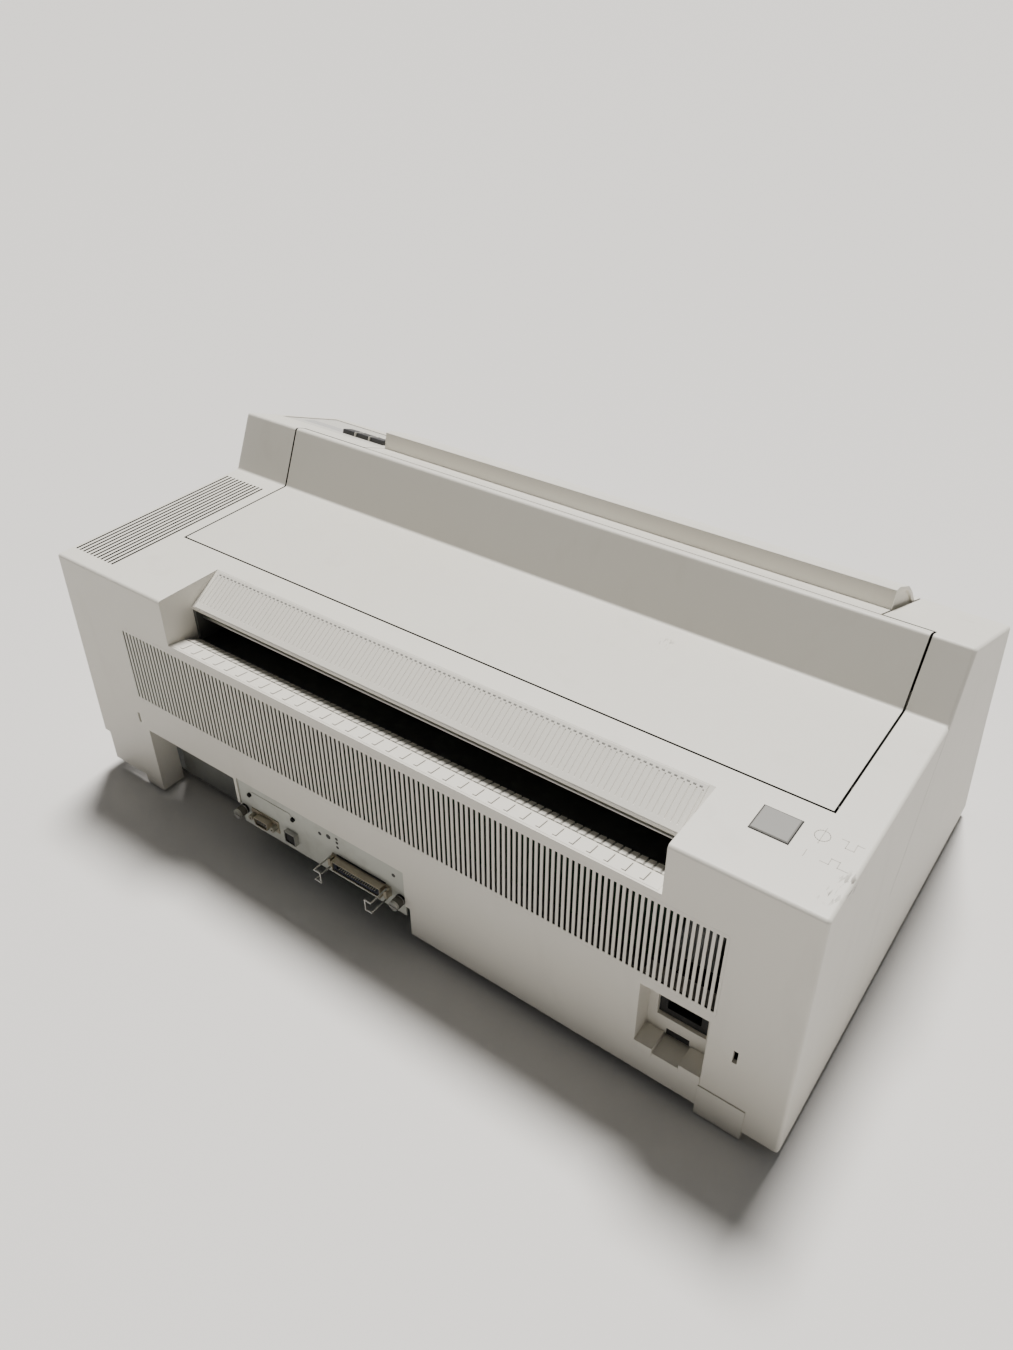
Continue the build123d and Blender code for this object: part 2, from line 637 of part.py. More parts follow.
with BuildPart() as interface_board:
    block(-25, 148, 5, 75, interface_board_z, interface_board_z + 1.6)
    block(30, 60, 30, 60, interface_board_z + 1.6, interface_board_z + 4.5)
    block(80, 100, 36, 56, interface_board_z + 1.6, interface_board_z + 4.0)
save(interface_board, "interface_board")

board_top = interface_board_z + 1.6
with BuildPart() as serial_port:
    block(serial_place[0] - 15.4, serial_place[0] + 15.4, plate_d0 - 1, plate_d0, serial_place[1] - 6.25,
          serial_place[1] + 6.25)
    with BuildSketch(Plane((0, back(plate_d0 - 6.5), 0), x_dir=(1, 0, 0), z_dir=(0, -1, 0))) as shell_face:
        with Locations(serial_place):
            Trapezoid(16.9, 8.3, 80, rotation=180)
        fillet(shell_face.vertices(), 1.6)
    extrude(amount=7.5)
    with BuildSketch(Plane((0, back(plate_d0 - 6.6), 0), x_dir=(1, 0, 0), z_dir=(0, -1, 0))) as shell_mouth:
        with Locations(serial_place):
            Trapezoid(15.3, 6.7, 80, rotation=180)
        fillet(shell_mouth.vertices(), 1.2)
    extrude(amount=5.2, mode=Mode.SUBTRACT)
    block(serial_place[0] - 8, serial_place[0] + 8, plate_d0 - 0.5, 14, board_top + 6.2, serial_place[1] + 4)
    block(serial_place[0] - 15, serial_place[0] + 15, plate_d1, 14, board_top, serial_place[1] + 6)
save(serial_port, "serial_port")

blank_screw_x = (137.2, 87.4)
blank_screw_z = 62.3
with BuildPart() as port_screws:
    for screw_x in blank_screw_x:
        rod_y(screw_x, blank_screw_z, plate_d0 - 1.7, plate_d0, 2.0)
        block(screw_x - 2.1, screw_x + 2.1, plate_d0 - 2, plate_d0 - 1.2, blank_screw_z - 0.35,
              blank_screw_z + 0.35, Mode.SUBTRACT)
    for nut_offset in (-12.5, 12.5):
        with BuildSketch(Plane((0, back(plate_d0 - 6.0), 0), x_dir=(1, 0, 0), z_dir=(0, -1, 0))):
            with Locations((serial_place[0] + nut_offset, serial_place[1])):
                RegularPolygon(2.7, 6)
                Circle(1.1, mode=Mode.SUBTRACT)
        extrude(amount=5.0)
save(port_screws, "port_screws")

with BuildPart() as usb_port:
    block(usb_place[0] - 6, usb_place[0] + 6, plate_d0 - 4, 14, usb_place[1] - 5.75, usb_place[1] + 5.75)
    block(usb_place[0] - 5.2, usb_place[0] + 5.2, plate_d0 - 5, 8, usb_place[1] - 4.95, usb_place[1] + 4.95,
          Mode.SUBTRACT)
    block(usb_place[0] - 3, usb_place[0] + 3, plate_d0 - 2, 9, usb_place[1] - 1.6, usb_place[1] + 1.6)
    block(usb_place[0] - 6, usb_place[0] + 6, 1, 14, board_top, usb_place[1] - 5.75)
save(usb_port, "usb_port")

shell_front_d = plate_d0 - 7.5
shell_x_half = 25.0
shell_z_half = 5.0
shell_sheet = 0.7
socket_x_half = 20.6       # the slot in the insulator that takes the plug's tongue
socket_z_half = 1.7
bail_offset = 29.0         # bail pivots either side of the connector's centre
bail_reach = 17.0
bail_hook = 6.0            # the closed end turns in towards the connector
bail_half = 5.2
wire_radius = 0.7
bail_d = plate_d0 - 4.5
ear_half = 1.5
ear_z_half = 4.0
with BuildPart() as parallel_port:
    port_x, port_z = parallel_place
    block(port_x - shell_x_half, port_x + shell_x_half, shell_front_d, plate_d1, port_z - shell_z_half,
          port_z + shell_z_half)
    block(port_x - shell_x_half + shell_sheet, port_x + shell_x_half - shell_sheet, shell_front_d - 1, plate_d1 + 2,
          port_z - shell_z_half + shell_sheet, port_z + shell_z_half - shell_sheet, Mode.SUBTRACT)
    for side in (-1, 1):
        ear_x = port_x + side * bail_offset
        shell_end_x = port_x + side * (shell_x_half - shell_sheet)
        foot_x0, foot_x1 = sorted((shell_end_x, ear_x + side * ear_half))
        block(foot_x0, foot_x1, plate_d0 - 1, plate_d0, port_z - shell_z_half, port_z + shell_z_half)
        block(ear_x - ear_half, ear_x + ear_half, bail_d - 1.6, plate_d0,
            port_z - ear_z_half, port_z + ear_z_half)
        rod_z(ear_x, bail_d, port_z - 5, port_z + 5, wire_radius + running, Mode.SUBTRACT)
save(parallel_port, "parallel_port")

with BuildPart() as parallel_insulator:
    block(port_x - shell_x_half + shell_sheet, port_x + shell_x_half - shell_sheet, shell_front_d + 1.1, 12,
          port_z - shell_z_half + shell_sheet, port_z + shell_z_half - shell_sheet)
    block(port_x - socket_x_half, port_x + socket_x_half, shell_front_d - 1, plate_d0 - 0.5, port_z - socket_z_half,
          port_z + socket_z_half, Mode.SUBTRACT)
    block(port_x - 30, port_x + 30, plate_d1, 12, board_top, port_z + 6)
save(parallel_insulator, "parallel_insulator")

contact_pitch = 2.16
contact_count = 18
contact_half = 0.5
leaf = 0.4                 # thickness of a contact leaf
with BuildPart() as parallel_contacts:
    for index in range(contact_count):
        contact_x = port_x + (index - (contact_count - 1) / 2) * contact_pitch
        for wall_z, inner_z in ((socket_z_half, socket_z_half - leaf), (-socket_z_half, leaf - socket_z_half)):
            low_z, high_z = sorted((port_z + wall_z, port_z + inner_z))
            block(contact_x - contact_half, contact_x + contact_half,
                shell_front_d + 1.3, plate_d0 - 1, low_z, high_z)
save(parallel_contacts, "parallel_contacts")

bend = 0.5                 # the straight lengths run this far past each corner of the bent wire
for side, name in ((1, "bail_left"), (-1, "bail_right")):
    pivot_x = port_x + side * bail_offset
    hook_x = pivot_x - side * bail_hook
    end_d = bail_d - bail_reach
    with BuildPart() as bail:
        for leg in (-1, 1):
            leg_z = port_z + leg * bail_half
            stub_z, corner_z = port_z + leg * 1.0, leg_z + leg * bend
            rod_z(pivot_x, bail_d, min(corner_z, stub_z), max(corner_z, stub_z), wire_radius)
            rod_y(pivot_x, leg_z, end_d - bend, bail_d + bend, wire_radius)
            rod_x(min(pivot_x, hook_x) - bend, max(pivot_x, hook_x) + bend, end_d, leg_z, wire_radius)
        rod_z(hook_x, end_d, port_z - bail_half - bend, port_z + bail_half + bend, wire_radius)
    save(bail, name)

barrel_radius = 4.2
for screw_x, name in ((thumb_x[0], "thumbscrew_left"), (thumb_x[1], "thumbscrew_right")):
    with BuildPart() as thumbscrew:
        rod_y(screw_x, thumb_z, plate_d0 - 10, plate_d0 - 0.2, barrel_radius)
        rod_y(screw_x, thumb_z, plate_d0 - 0.3, 8, shank_radius)
        block(screw_x - 5, screw_x + 5, plate_d0 - 11, plate_d0 - 8.6,
            thumb_z - 0.6, thumb_z + 0.6, Mode.SUBTRACT)
    save(thumbscrew, name)

with BuildPart() as blanking_plate:
    block(89.6, 134.8, plate_d0 - 0.35, plate_d0, 55, 66.6)
    fillet(blanking_plate.edges().filter_by(Axis.Y), 2.0)
save(blanking_plate, "blanking_plate")

# ---------------------------------------------------------------- print mechanism frame
frame_left_x = 212.0       # inner face of the left side frame
frame_right_x = -248.0     # inner face of the right side frame
frame_plate = 2.0
frame_outline = [(96, pan_z1), (332, pan_z1), (332, 196), (225, 200), (96, 200)]
shaft_d = 250.0            # platen
shaft_z = 170.0
platen_radius = 17.0
platen_shaft_radius = 4.0
idler_d = 186.6
idler_z = 151.2
stud_radius = 3.0
drive_d = 122.0            # tractor drive shaft
drive_z = 165.0
drive_end_radius = 3.0
motor_d = 211.7
motor_z = 107.8
motor_shaft_radius = 2.5
roller_z = 146.7
roller_radius = 6.0
roller_end_radius = 3.0
belt_d = 308.0
belt_pulley_radius = 9.0
left_pulley_x = 190.0
right_pulley_x = -228.0
tab_z0 = 98.0
tab_z1 = 100.0

with BuildPart() as side_frame_left:
    side_prism(frame_outline, frame_left_x, frame_left_x + frame_plate)
    block(165, frame_left_x, 285, 331, tab_z0, tab_z1)
    rod_x(frame_left_x, 226, idler_d, idler_z, stud_radius)
    rod_z(left_pulley_x, belt_d, tab_z0 - 1, tab_z1 + 1, 4.0, Mode.SUBTRACT)
    for bore_d, bore_z, bore_radius in (
        (shaft_d, shaft_z, platen_shaft_radius),
        (drive_d, drive_z, drive_end_radius),
        (motor_d, motor_z, motor_shaft_radius),
        (shaft_d, roller_z, roller_end_radius),
    ):
        rod_x(frame_left_x - 1, frame_left_x + frame_plate + 1, bore_d, bore_z, bore_radius + running,
              Mode.SUBTRACT)
save(side_frame_left, "side_frame_left")

with BuildPart() as side_frame_right:
    side_prism(frame_outline, frame_right_x - frame_plate, frame_right_x)
    block(frame_right_x, -205, 295, 321, tab_z0, tab_z1)
    rod_z(right_pulley_x, belt_d, tab_z0, 114, motor_shaft_radius)
    for bore_d, bore_z, bore_radius in (
        (shaft_d, shaft_z, platen_shaft_radius),
        (drive_d, drive_z, drive_end_radius),
        (shaft_d, roller_z, roller_end_radius),
    ):
        rod_x(frame_right_x - frame_plate - 1, frame_right_x + 1, bore_d, bore_z, bore_radius + running,
              Mode.SUBTRACT)
save(side_frame_right, "side_frame_right")

front_shaft = (297.0, 132.0, 6.0)
rear_shaft = (322.0, 160.0, 4.0)
support_shaft = (155.0, 165.0, 4.0)
with BuildPart() as guide_shafts:
    for guide_d, guide_z, guide_radius in (front_shaft, rear_shaft, support_shaft):
        rod_x(frame_right_x, frame_left_x, guide_d, guide_z, guide_radius)
save(guide_shafts, "guide_shafts")

# ---------------------------------------------------------------- carriage, head and ribbon
carriage_x = -18.0
with BuildPart() as carriage:
    carriage_outline = [(283, 118), (329, 118), (329, 168), (314, 168), (314, 150), (283, 150)]
    side_prism(carriage_outline, carriage_x - 25, carriage_x + 25)
    block(carriage_x - 8, carriage_x + 8, 318.6, 323, 103, 119)
    for guide_d, guide_z, guide_radius in (front_shaft, rear_shaft):
        rod_x(carriage_x - 26, carriage_x + 26, guide_d, guide_z, guide_radius + running, Mode.SUBTRACT)
save(carriage, "carriage")

with BuildPart() as print_head:
    block(carriage_x - 14, carriage_x + 14, 276, 306, 150, 190)
    block(carriage_x - 6, carriage_x + 6, 268.5, 276, 163, 177)
    for fin_z in range(5):
        block(carriage_x - 14, carriage_x + 14, 300, 306, 156 + fin_z * 6, 159 + fin_z * 6, Mode.SUBTRACT)
save(print_head, "print_head")

with BuildPart() as ribbon_cassette:
    block(carriage_x - 57, carriage_x + 57, 276, 326, 190, 203)
    fillet(ribbon_cassette.edges().filter_by(Axis.Z), 8)
    block(carriage_x - 22, carriage_x + 22, 270, 284, 189, 204, Mode.SUBTRACT)
save(ribbon_cassette, "ribbon_cassette")

belt_inner = belt_pulley_radius + 0.3
belt_outer = belt_inner + 1.2
belt_centre_x = (left_pulley_x + right_pulley_x) / 2
belt_span = left_pulley_x - right_pulley_x
with BuildPart() as carriage_belt:
    with BuildSketch(Plane.XY.offset(104)):
        with Locations((belt_centre_x, back(belt_d))):
            SlotCenterToCenter(belt_span, 2 * belt_outer)
            SlotCenterToCenter(belt_span, 2 * belt_inner, mode=Mode.SUBTRACT)
    extrude(amount=6)
save(carriage_belt, "carriage_belt")

with BuildPart() as carriage_motor:
    rod_z(left_pulley_x, belt_d, 50, tab_z0, 20)
    rod_z(left_pulley_x, belt_d, 88, tab_z0 + 1, motor_shaft_radius + running, Mode.SUBTRACT)
save(carriage_motor, "carriage_motor")

with BuildPart() as drive_pulley:
    rod_z(left_pulley_x, belt_d, 103, 111, belt_pulley_radius)
    rod_z(left_pulley_x, belt_d, 102, 103, 11.4)
    rod_z(left_pulley_x, belt_d, 111, 112, 11.4)
    rod_z(left_pulley_x, belt_d, 89, 113, motor_shaft_radius)
save(drive_pulley, "drive_pulley")

with BuildPart() as idler_pulley:
    rod_z(right_pulley_x, belt_d, 103, 111, belt_pulley_radius)
    rod_z(right_pulley_x, belt_d, 102, 103, 11.4)
    rod_z(right_pulley_x, belt_d, 111, 112, 11.4)
    rod_z(right_pulley_x, belt_d, 101, 113, motor_shaft_radius + running, Mode.SUBTRACT)
save(idler_pulley, "idler_pulley")

# ---------------------------------------------------------------- paper feed
gear_x0 = 218.0
gear_x1 = 224.0
gear_teeth_feed = 48
gear_teeth_idler = 84
gear_teeth_pinion = 16
tip_half = 0.36            # half thickness of a tooth at its tip, at the pitch line and at its root
pitch_half = 0.66
root_half = 1.0
tooth_rise = 0.85
tooth_fall = 1.15


def add_gear(depth, z, teeth, phase):
    """A spur gear of module 1 with one tooth pointing at the phase angle, about +X."""
    corners = []
    for tooth in range(teeth):
        centre_angle = radians(phase + 360.0 * tooth / teeth)
        pitch_radius = teeth / 2
        flank = (
            (pitch_radius - tooth_fall, -root_half),
            (pitch_radius, -pitch_half),
            (pitch_radius + tooth_rise, -tip_half),
            (pitch_radius + tooth_rise, tip_half),
            (pitch_radius, pitch_half),
            (pitch_radius - tooth_fall, root_half),
        )
        for radius, half_width in flank:
            angle = centre_angle + half_width / radius
            corners.append((back(depth) + radius * cos(angle), z + radius * sin(angle)))
    with BuildSketch(Plane.YZ.offset(gear_x0)) as gear_face:
        with BuildLine():
            Polyline(*corners, close=True)
        make_face()
    extrude(gear_face.sketch, amount=gear_x1 - gear_x0)


def meshing_phase(depth_a, z_a, teeth_a, phase_a, depth_b, z_b, teeth_b):
    """Phase of gear B that puts a gap of B where gear A has a tooth."""
    direction = degrees(atan2(z_b - z_a, back(depth_b) - back(depth_a)))
    past_tooth = (direction - phase_a) % (360.0 / teeth_a)
    return direction + 180.0 + past_tooth * teeth_a / teeth_b - 180.0 / teeth_b


idler_phase = 0.0
idler_place = (idler_d, idler_z, gear_teeth_idler, idler_phase)
platen_phase = meshing_phase(*idler_place, shaft_d, shaft_z, gear_teeth_feed)
tractor_phase = meshing_phase(*idler_place, drive_d, drive_z, gear_teeth_feed)
pinion_phase = meshing_phase(*idler_place, motor_d, motor_z, gear_teeth_pinion)

with BuildPart() as platen:
    rod_x(-244, 208, shaft_d, shaft_z, platen_radius)
    rod_x(-252, 226, shaft_d, shaft_z, platen_shaft_radius)
save(platen, "platen")

with BuildPart() as platen_gear:
    add_gear(shaft_d, shaft_z, gear_teeth_feed, platen_phase)
    rod_x(gear_x0 - 1, gear_x1 + 1, shaft_d, shaft_z, platen_shaft_radius, Mode.SUBTRACT)
save(platen_gear, "platen_gear")

with BuildPart() as idler_gear:
    add_gear(idler_d, idler_z, gear_teeth_idler, idler_phase)
    rod_x(gear_x0 - 1, gear_x1 + 1, idler_d, idler_z, stud_radius + running, Mode.SUBTRACT)
save(idler_gear, "idler_gear")

with BuildPart() as tractor_drive_shaft:
    block(frame_right_x + 1, frame_left_x - 1, drive_d - 3, drive_d + 3, drive_z - 3, drive_z + 3)
    rod_x(-252, 226, drive_d, drive_z, drive_end_radius)
save(tractor_drive_shaft, "tractor_drive_shaft")

with BuildPart() as tractor_gear:
    add_gear(drive_d, drive_z, gear_teeth_feed, tractor_phase)
    rod_x(gear_x0 - 1, gear_x1 + 1, drive_d, drive_z, drive_end_radius, Mode.SUBTRACT)
save(tractor_gear, "tractor_gear")

with BuildPart() as feed_pinion:
    add_gear(motor_d, motor_z, gear_teeth_pinion, pinion_phase)
    rod_x(204, gear_x1, motor_d, motor_z, motor_shaft_radius)
save(feed_pinion, "feed_pinion")

with BuildPart() as feed_motor:
    block(172, frame_left_x, motor_d - 21, motor_d + 21, motor_z - 21, motor_z + 21)
    chamfer(feed_motor.edges().filter_by(Axis.X), 4)
    rod_x(203, frame_left_x + 1, motor_d, motor_z, motor_shaft_radius + running, Mode.SUBTRACT)
save(feed_motor, "feed_motor")

with BuildPart() as pressure_roller:
    rod_x(-244, 208, shaft_d, roller_z, roller_radius)
    rod_x(-250, 214, shaft_d, roller_z, roller_end_radius)
save(pressure_roller, "pressure_roller")

# ---------------------------------------------------------------- tractors
hinge_z = 180.5
for name, middle_x, side in (("left", 165.0, 1), ("right", -190.0, -1)):
    hinge_x = middle_x + side * 9
    with BuildPart() as tractor:
        block(middle_x - 11, middle_x + 11, 105, 170, 152, 178)
        fillet(tractor.edges().filter_by(Axis.X), 6)
        ear_low, ear_high = sorted((hinge_x - side * 3, hinge_x + side * 2))
        for ear_d in (113.0, 158.0):
            block(ear_low, ear_high, ear_d, ear_d + 4, 170, 183)
            rod_y(hinge_x, hinge_z, ear_d - 1, ear_d + 5, 1.5 + running, Mode.SUBTRACT)
        rod_x(middle_x - 12, middle_x + 12, drive_d, drive_z, 5.0, Mode.SUBTRACT)
        rod_x(middle_x - 12, middle_x + 12, support_shaft[0], support_shaft[1], support_shaft[2] + 0.1,
              Mode.SUBTRACT)
    save(tractor, f"tractor_{name}")
    door_low, door_high = sorted((middle_x - side * 11, hinge_x))
    with BuildPart() as tractor_door:
        block(door_low, door_high, 118, 157, 181.0, 184)
        rod_y(hinge_x, hinge_z, 117.6, 157.4, 2.2)
        rod_y(hinge_x, hinge_z, 113.4, 161.6, 1.5)
    save(tractor_door, f"tractor_door_{name}")

# ---------------------------------------------------------------- main board and fan
with BuildPart() as main_board:
    block(-200, 150, 80, 280, main_board_z, main_board_z + 1.6)
    chip_top = main_board_z + 1.6
    for chip_x, chip_d, chip_size, chip_height in (
        (-120, 130, 34, 3), (-60, 130, 28, 3), (0, 140, 40, 3.5),
        (70, 120, 24, 3), (60, 230, 44, 18), (-140, 230, 30, 25)
    ):
        block(chip_x, chip_x + chip_size, chip_d, chip_d + chip_size * 0.6, chip_top, chip_top + chip_height)
save(main_board, "main_board")

fan_x = 297.0
fan_d = 100.0
fan_z0 = 205.8
fan_z1 = deck_z - wall
with BuildPart() as fan_frame:
    block(fan_x - 25, fan_x + 25, fan_d - 25, fan_d + 25, fan_z0, fan_z1)
    rod_z(fan_x, fan_d, fan_z0 - 1, fan_z1 + 1, 23.5, Mode.SUBTRACT)
    rod_z(fan_x, fan_d, fan_z0, fan_z0 + 2, 10)
    block(fan_x - 24, fan_x + 24, fan_d - 1.5, fan_d + 1.5, fan_z0, fan_z0 + 2)
    block(fan_x - 1.5, fan_x + 1.5, fan_d - 24, fan_d + 24, fan_z0, fan_z0 + 2)
    rod_z(fan_x, fan_d, fan_z0 + 1, fan_z0 + 11, 1.5)
save(fan_frame, "fan_frame")

blade_count = 7
with BuildPart() as fan_rotor:
    rod_z(fan_x, fan_d, fan_z0 + 2.5, fan_z1 - 1, 9.5)
    for index in range(blade_count):
        turn = 360.0 * index / blade_count
        blade_plane = Plane(
            origin=(fan_x, back(fan_d), (fan_z0 + fan_z1) / 2 + 0.6),
            x_dir=(cos(radians(turn)), sin(radians(turn)), 0),
            z_dir=(-sin(radians(turn)) * 0.64, cos(radians(turn)) * 0.64, 0.768),
        )
        with BuildSketch(blade_plane):
            with Locations((15.3, 0)):
                Rectangle(13.2, 11.0)
        extrude(amount=0.6, both=True)
    rod_z(fan_x, fan_d, fan_z0 + 2, fan_z0 + 11.5, 1.5 + running, Mode.SUBTRACT)
save(fan_rotor, "fan_rotor")
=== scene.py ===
"""Looks of the wide-carriage printer: materials, fine moulded detail, lights and the camera."""

import json
import math

import bmesh
import bpy
from mathutils import Matrix, Vector


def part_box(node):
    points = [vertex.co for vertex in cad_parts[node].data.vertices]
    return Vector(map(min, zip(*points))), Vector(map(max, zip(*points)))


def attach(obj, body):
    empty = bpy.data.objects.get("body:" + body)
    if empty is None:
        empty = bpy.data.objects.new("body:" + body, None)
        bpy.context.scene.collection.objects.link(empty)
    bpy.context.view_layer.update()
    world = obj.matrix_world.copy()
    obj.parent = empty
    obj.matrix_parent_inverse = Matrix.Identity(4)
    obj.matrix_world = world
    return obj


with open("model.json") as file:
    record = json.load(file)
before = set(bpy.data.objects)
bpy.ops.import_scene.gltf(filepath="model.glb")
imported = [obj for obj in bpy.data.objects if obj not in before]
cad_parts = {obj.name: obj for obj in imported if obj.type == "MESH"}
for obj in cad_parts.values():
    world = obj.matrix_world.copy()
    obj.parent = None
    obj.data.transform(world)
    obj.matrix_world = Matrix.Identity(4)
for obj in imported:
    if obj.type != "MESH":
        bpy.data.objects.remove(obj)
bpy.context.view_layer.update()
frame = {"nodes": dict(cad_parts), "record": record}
MM = 0.001
nodes = frame["nodes"]

PLATE_FACE = 0.9                     # the interface plate's outer face lies this far behind the rear face
REAR_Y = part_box("interface_plate")[1].y / MM - PLATE_FACE
BUTTON_RISE = 1.0                    # the power button stands this far above the deck
DECK_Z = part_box("power_button")[1].z / MM - BUTTON_RISE


def place(x, depth, z):
    """A point in metres from X, depth forward of the rear face and height, all in millimetres."""
    return Vector((x, REAR_Y - depth, z)) * MM


def span(limits):
    """A range in millimetres turned into metres; None stays an open end."""
    return [None if limit is None else limit * MM for limit in limits]


def region(x_range, depth_range, z_range):
    """The low and high corners, in metres, of a region given by ranges in millimetres."""
    y_range = [None if depth is None else REAR_Y - depth for depth in reversed(depth_range)]
    return zip(span(x_range), span(y_range), span(z_range))


def box_middle(name):
    """The middle of a node's box in X and height, and half its X size, in millimetres."""
    low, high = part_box(name)
    return (low.x + high.x) / 2 / MM, (low.z + high.z) / 2 / MM, (high.x - low.x) / 2 / MM


# ------------------------------------------------------------------ shader helpers
def linear(value):
    """A display channel from 0 to 1 as linear light."""
    return value / 12.92 if value <= 0.04045 else ((value + 0.055) / 1.055) ** 2.4


def rgb(red, green, blue):
    """A display colour from 0 to 255 as the linear colour a shader takes."""
    return (linear(red / 255), linear(green / 255), linear(blue / 255), 1.0)


class Shader:
    """A material under construction, with short calls for the nodes it uses."""

    def __init__(self, name, colour, roughness, metallic=0.0, coat=0.0):
        self.material = bpy.data.materials.new(name)
        self.material.use_nodes = True
        self.tree = self.material.node_tree
        self.surface = self.tree.nodes["Principled BSDF"]
        self.surface.inputs["Base Color"].default_value = colour
        self.surface.inputs["Roughness"].default_value = roughness
        self.surface.inputs["Metallic"].default_value = metallic
        self.surface.inputs["Coat Weight"].default_value = coat
        self.coords = self.add("ShaderNodeTexCoord").outputs["Object"]
        self.colour = None
        self.normal = None

    def add(self, kind, **settings):
        """A new node with its settings."""
        node = self.tree.nodes.new(kind)
        for key, value in settings.items():
            setattr(node, key, value)
        return node

    def link(self, output, socket_shade):
        self.tree.links.new(output, socket_shade)

    def noise(self, scale, detail=4.0, stretch=(1, 1, 1)):
        """A noise value over the surface; scale is in features per metre."""
        mapping = self.add("ShaderNodeMapping")
        mapping.inputs["Scale"].default_value = stretch
        self.link(self.coords, mapping.inputs["Vector"])
        texture = self.add("ShaderNodeTexNoise")
        texture.inputs["Scale"].default_value = scale
        texture.inputs["Detail"].default_value = detail
        self.link(mapping.outputs["Vector"], texture.inputs["Vector"])
        return texture.outputs["Fac"]

    def ramp(self, value, low, high, invert=False):
        """A value remapped so that low becomes 0 and high becomes 1."""
        node = self.add("ShaderNodeMapRange")
        node.inputs["From Min"].default_value = low
        node.inputs["From Max"].default_value = high
        node.inputs["To Min"].default_value = 1.0 if invert else 0.0
        node.inputs["To Max"].default_value = 0.0 if invert else 1.0
        self.link(value, node.inputs["Value"])
        return node.outputs["Result"]

    def times(self, first, second):
        """The product of a value and another value or a number."""
        node = self.add("ShaderNodeMath", operation="MULTIPLY")
        self.link(first, node.inputs[0])
        if isinstance(second, float):
            node.inputs[1].default_value = second
        else:
            self.link(second, node.inputs[1])
        return node.outputs[0]

    def axis(self, letter):
        """One coordinate of the surface point, in metres."""
        split = self.add("ShaderNodeSeparateXYZ")
        self.link(self.coords, split.inputs[0])
        return split.outputs[letter]

    def near(self, centre, reach):
        """1 at a point, falling to 0 at a distance from it."""
        node = self.add("ShaderNodeVectorMath", operation="DISTANCE")
        self.link(self.coords, node.inputs[0])
        node.inputs[1].default_value = centre
        return self.ramp(node.outputs["Value"], 0.0, reach, invert=True)

    def along(self, direction):
        """Distance of the surface point along a direction, in metres."""
        node = self.add("ShaderNodeVectorMath", operation="DOT_PRODUCT")
        self.link(self.coords, node.inputs[0])
        node.inputs[1].default_value = direction
        return node.outputs["Value"]

    def inside(self, low, high, soft=0.0001, invert=False):
        """1 within a box between two corners, given for the axes that matter (None for the others)."""
        mask = None
        for letter, floor_value, top_value in zip("XYZ", low, high):
            for limit, sign in ((floor_value, 1), (top_value, -1)):
                if limit is None:
                    continue
                step = self.ramp(self.axis(letter), limit - soft, limit + soft, invert=sign < 0)
                mask = step if mask is None else self.times(mask, step)
        return self.ramp(mask, 0.0, 1.0, invert=True) if invert else mask

    def mix(self, colour, mask, share=1.0):
        """Lays a colour over what there is, where the mask is."""
        node = self.add("ShaderNodeMix", data_type="RGBA")
        if self.colour is None:
            node.inputs["A"].default_value = self.surface.inputs["Base Color"].default_value
        else:
            self.link(self.colour, node.inputs["A"])
        node.inputs["B"].default_value = colour
        self.link(self.times(mask, share), node.inputs["Factor"])
        self.colour = node.outputs["Result"]

    def bump(self, height, depth):
        """Adds relief of a depth in metres."""
        node = self.add("ShaderNodeBump")
        node.inputs["Distance"].default_value = depth
        node.inputs["Strength"].default_value = 1.0
        self.link(height, node.inputs["Height"])
        if self.normal is not None:
            self.link(self.normal, node.inputs["Normal"])
        self.normal = node.outputs["Normal"]

    def soft_edges(self, radius):
        """Rounds the shading of sharp moulded edges."""
        node = self.add("ShaderNodeBevel", samples=4)
        node.inputs["Radius"].default_value = radius
        if self.normal is not None:
            self.link(self.normal, node.inputs["Normal"])
        self.normal = node.outputs["Normal"]

    def roughness(self, value, low, high):
        """Lets a value from 0 to 1 move the roughness between two limits."""
        node = self.add("ShaderNodeMapRange")
        node.inputs["To Min"].default_value = low
        node.inputs["To Max"].default_value = high
        self.link(value, node.inputs["Value"])
        self.link(node.outputs["Result"], self.surface.inputs["Roughness"])

    def done(self):
        """The finished material, with its colour and normal joined to the surface."""
        if self.colour is not None:
            self.link(self.colour, self.surface.inputs["Base Color"])
        if self.normal is not None:
            self.link(self.normal, self.surface.inputs["Normal"])
        return self.material


# ------------------------------------------------------------------ materials
CASE_COLOUR = rgb(226, 223, 214)
CASE_WARM = rgb(218, 211, 194)
SCUFF_DARK = rgb(74, 66, 56)
SCUFFS = (                           # place, reach in millimetres and strength of each scuff
    (place(-137, 173, DECK_Z), 8, 0.7),
    (place(-330, 32, DECK_Z - 1), 11, 0.9),
    (place(-322, 17, DECK_Z), 8, 0.8),
    (place(150, 260, DECK_Z - 60), 10, 0.5),
)
# colour of the painted shade on the walls of gaps, slots and seams
GAP_WALL_SHADE = rgb(34, 33, 30)
SEAM = 1.4                           # gap round the lid
LID_X = (-301.1, 266.4)              # opening for the lid
LID_REAR = 78.3
LID_FRONT = 228.0                    # the painted shade on the walls of its seam reaches as far forward as this
LID_WELL = 5.0                       # and this far down from the deck
LOUVRE_X = (277.5, 326.0)            # the field of louvres in the deck
LOUVRE_DEPTH = (14.0, 180.0)
BUTTON_WELL_X = (-290.0, -264.0)     # the hole that the power button stands in
BUTTON_WELL_DEPTH = (38.0, 62.0)
TOP_EDGE = 0.35                      # walls keep the case's colour this far below the deck; below that they take painted shade
SEAM_PAINT = 0.1                     # the seam's painted shade reaches this far into the case's wall
RIM_PAINT = 0.15                     # the painted shade on the lid reaches this far in from its edge
REAR_LEAN = 2.5                      # how far the rear wall stands out at the bottom edge
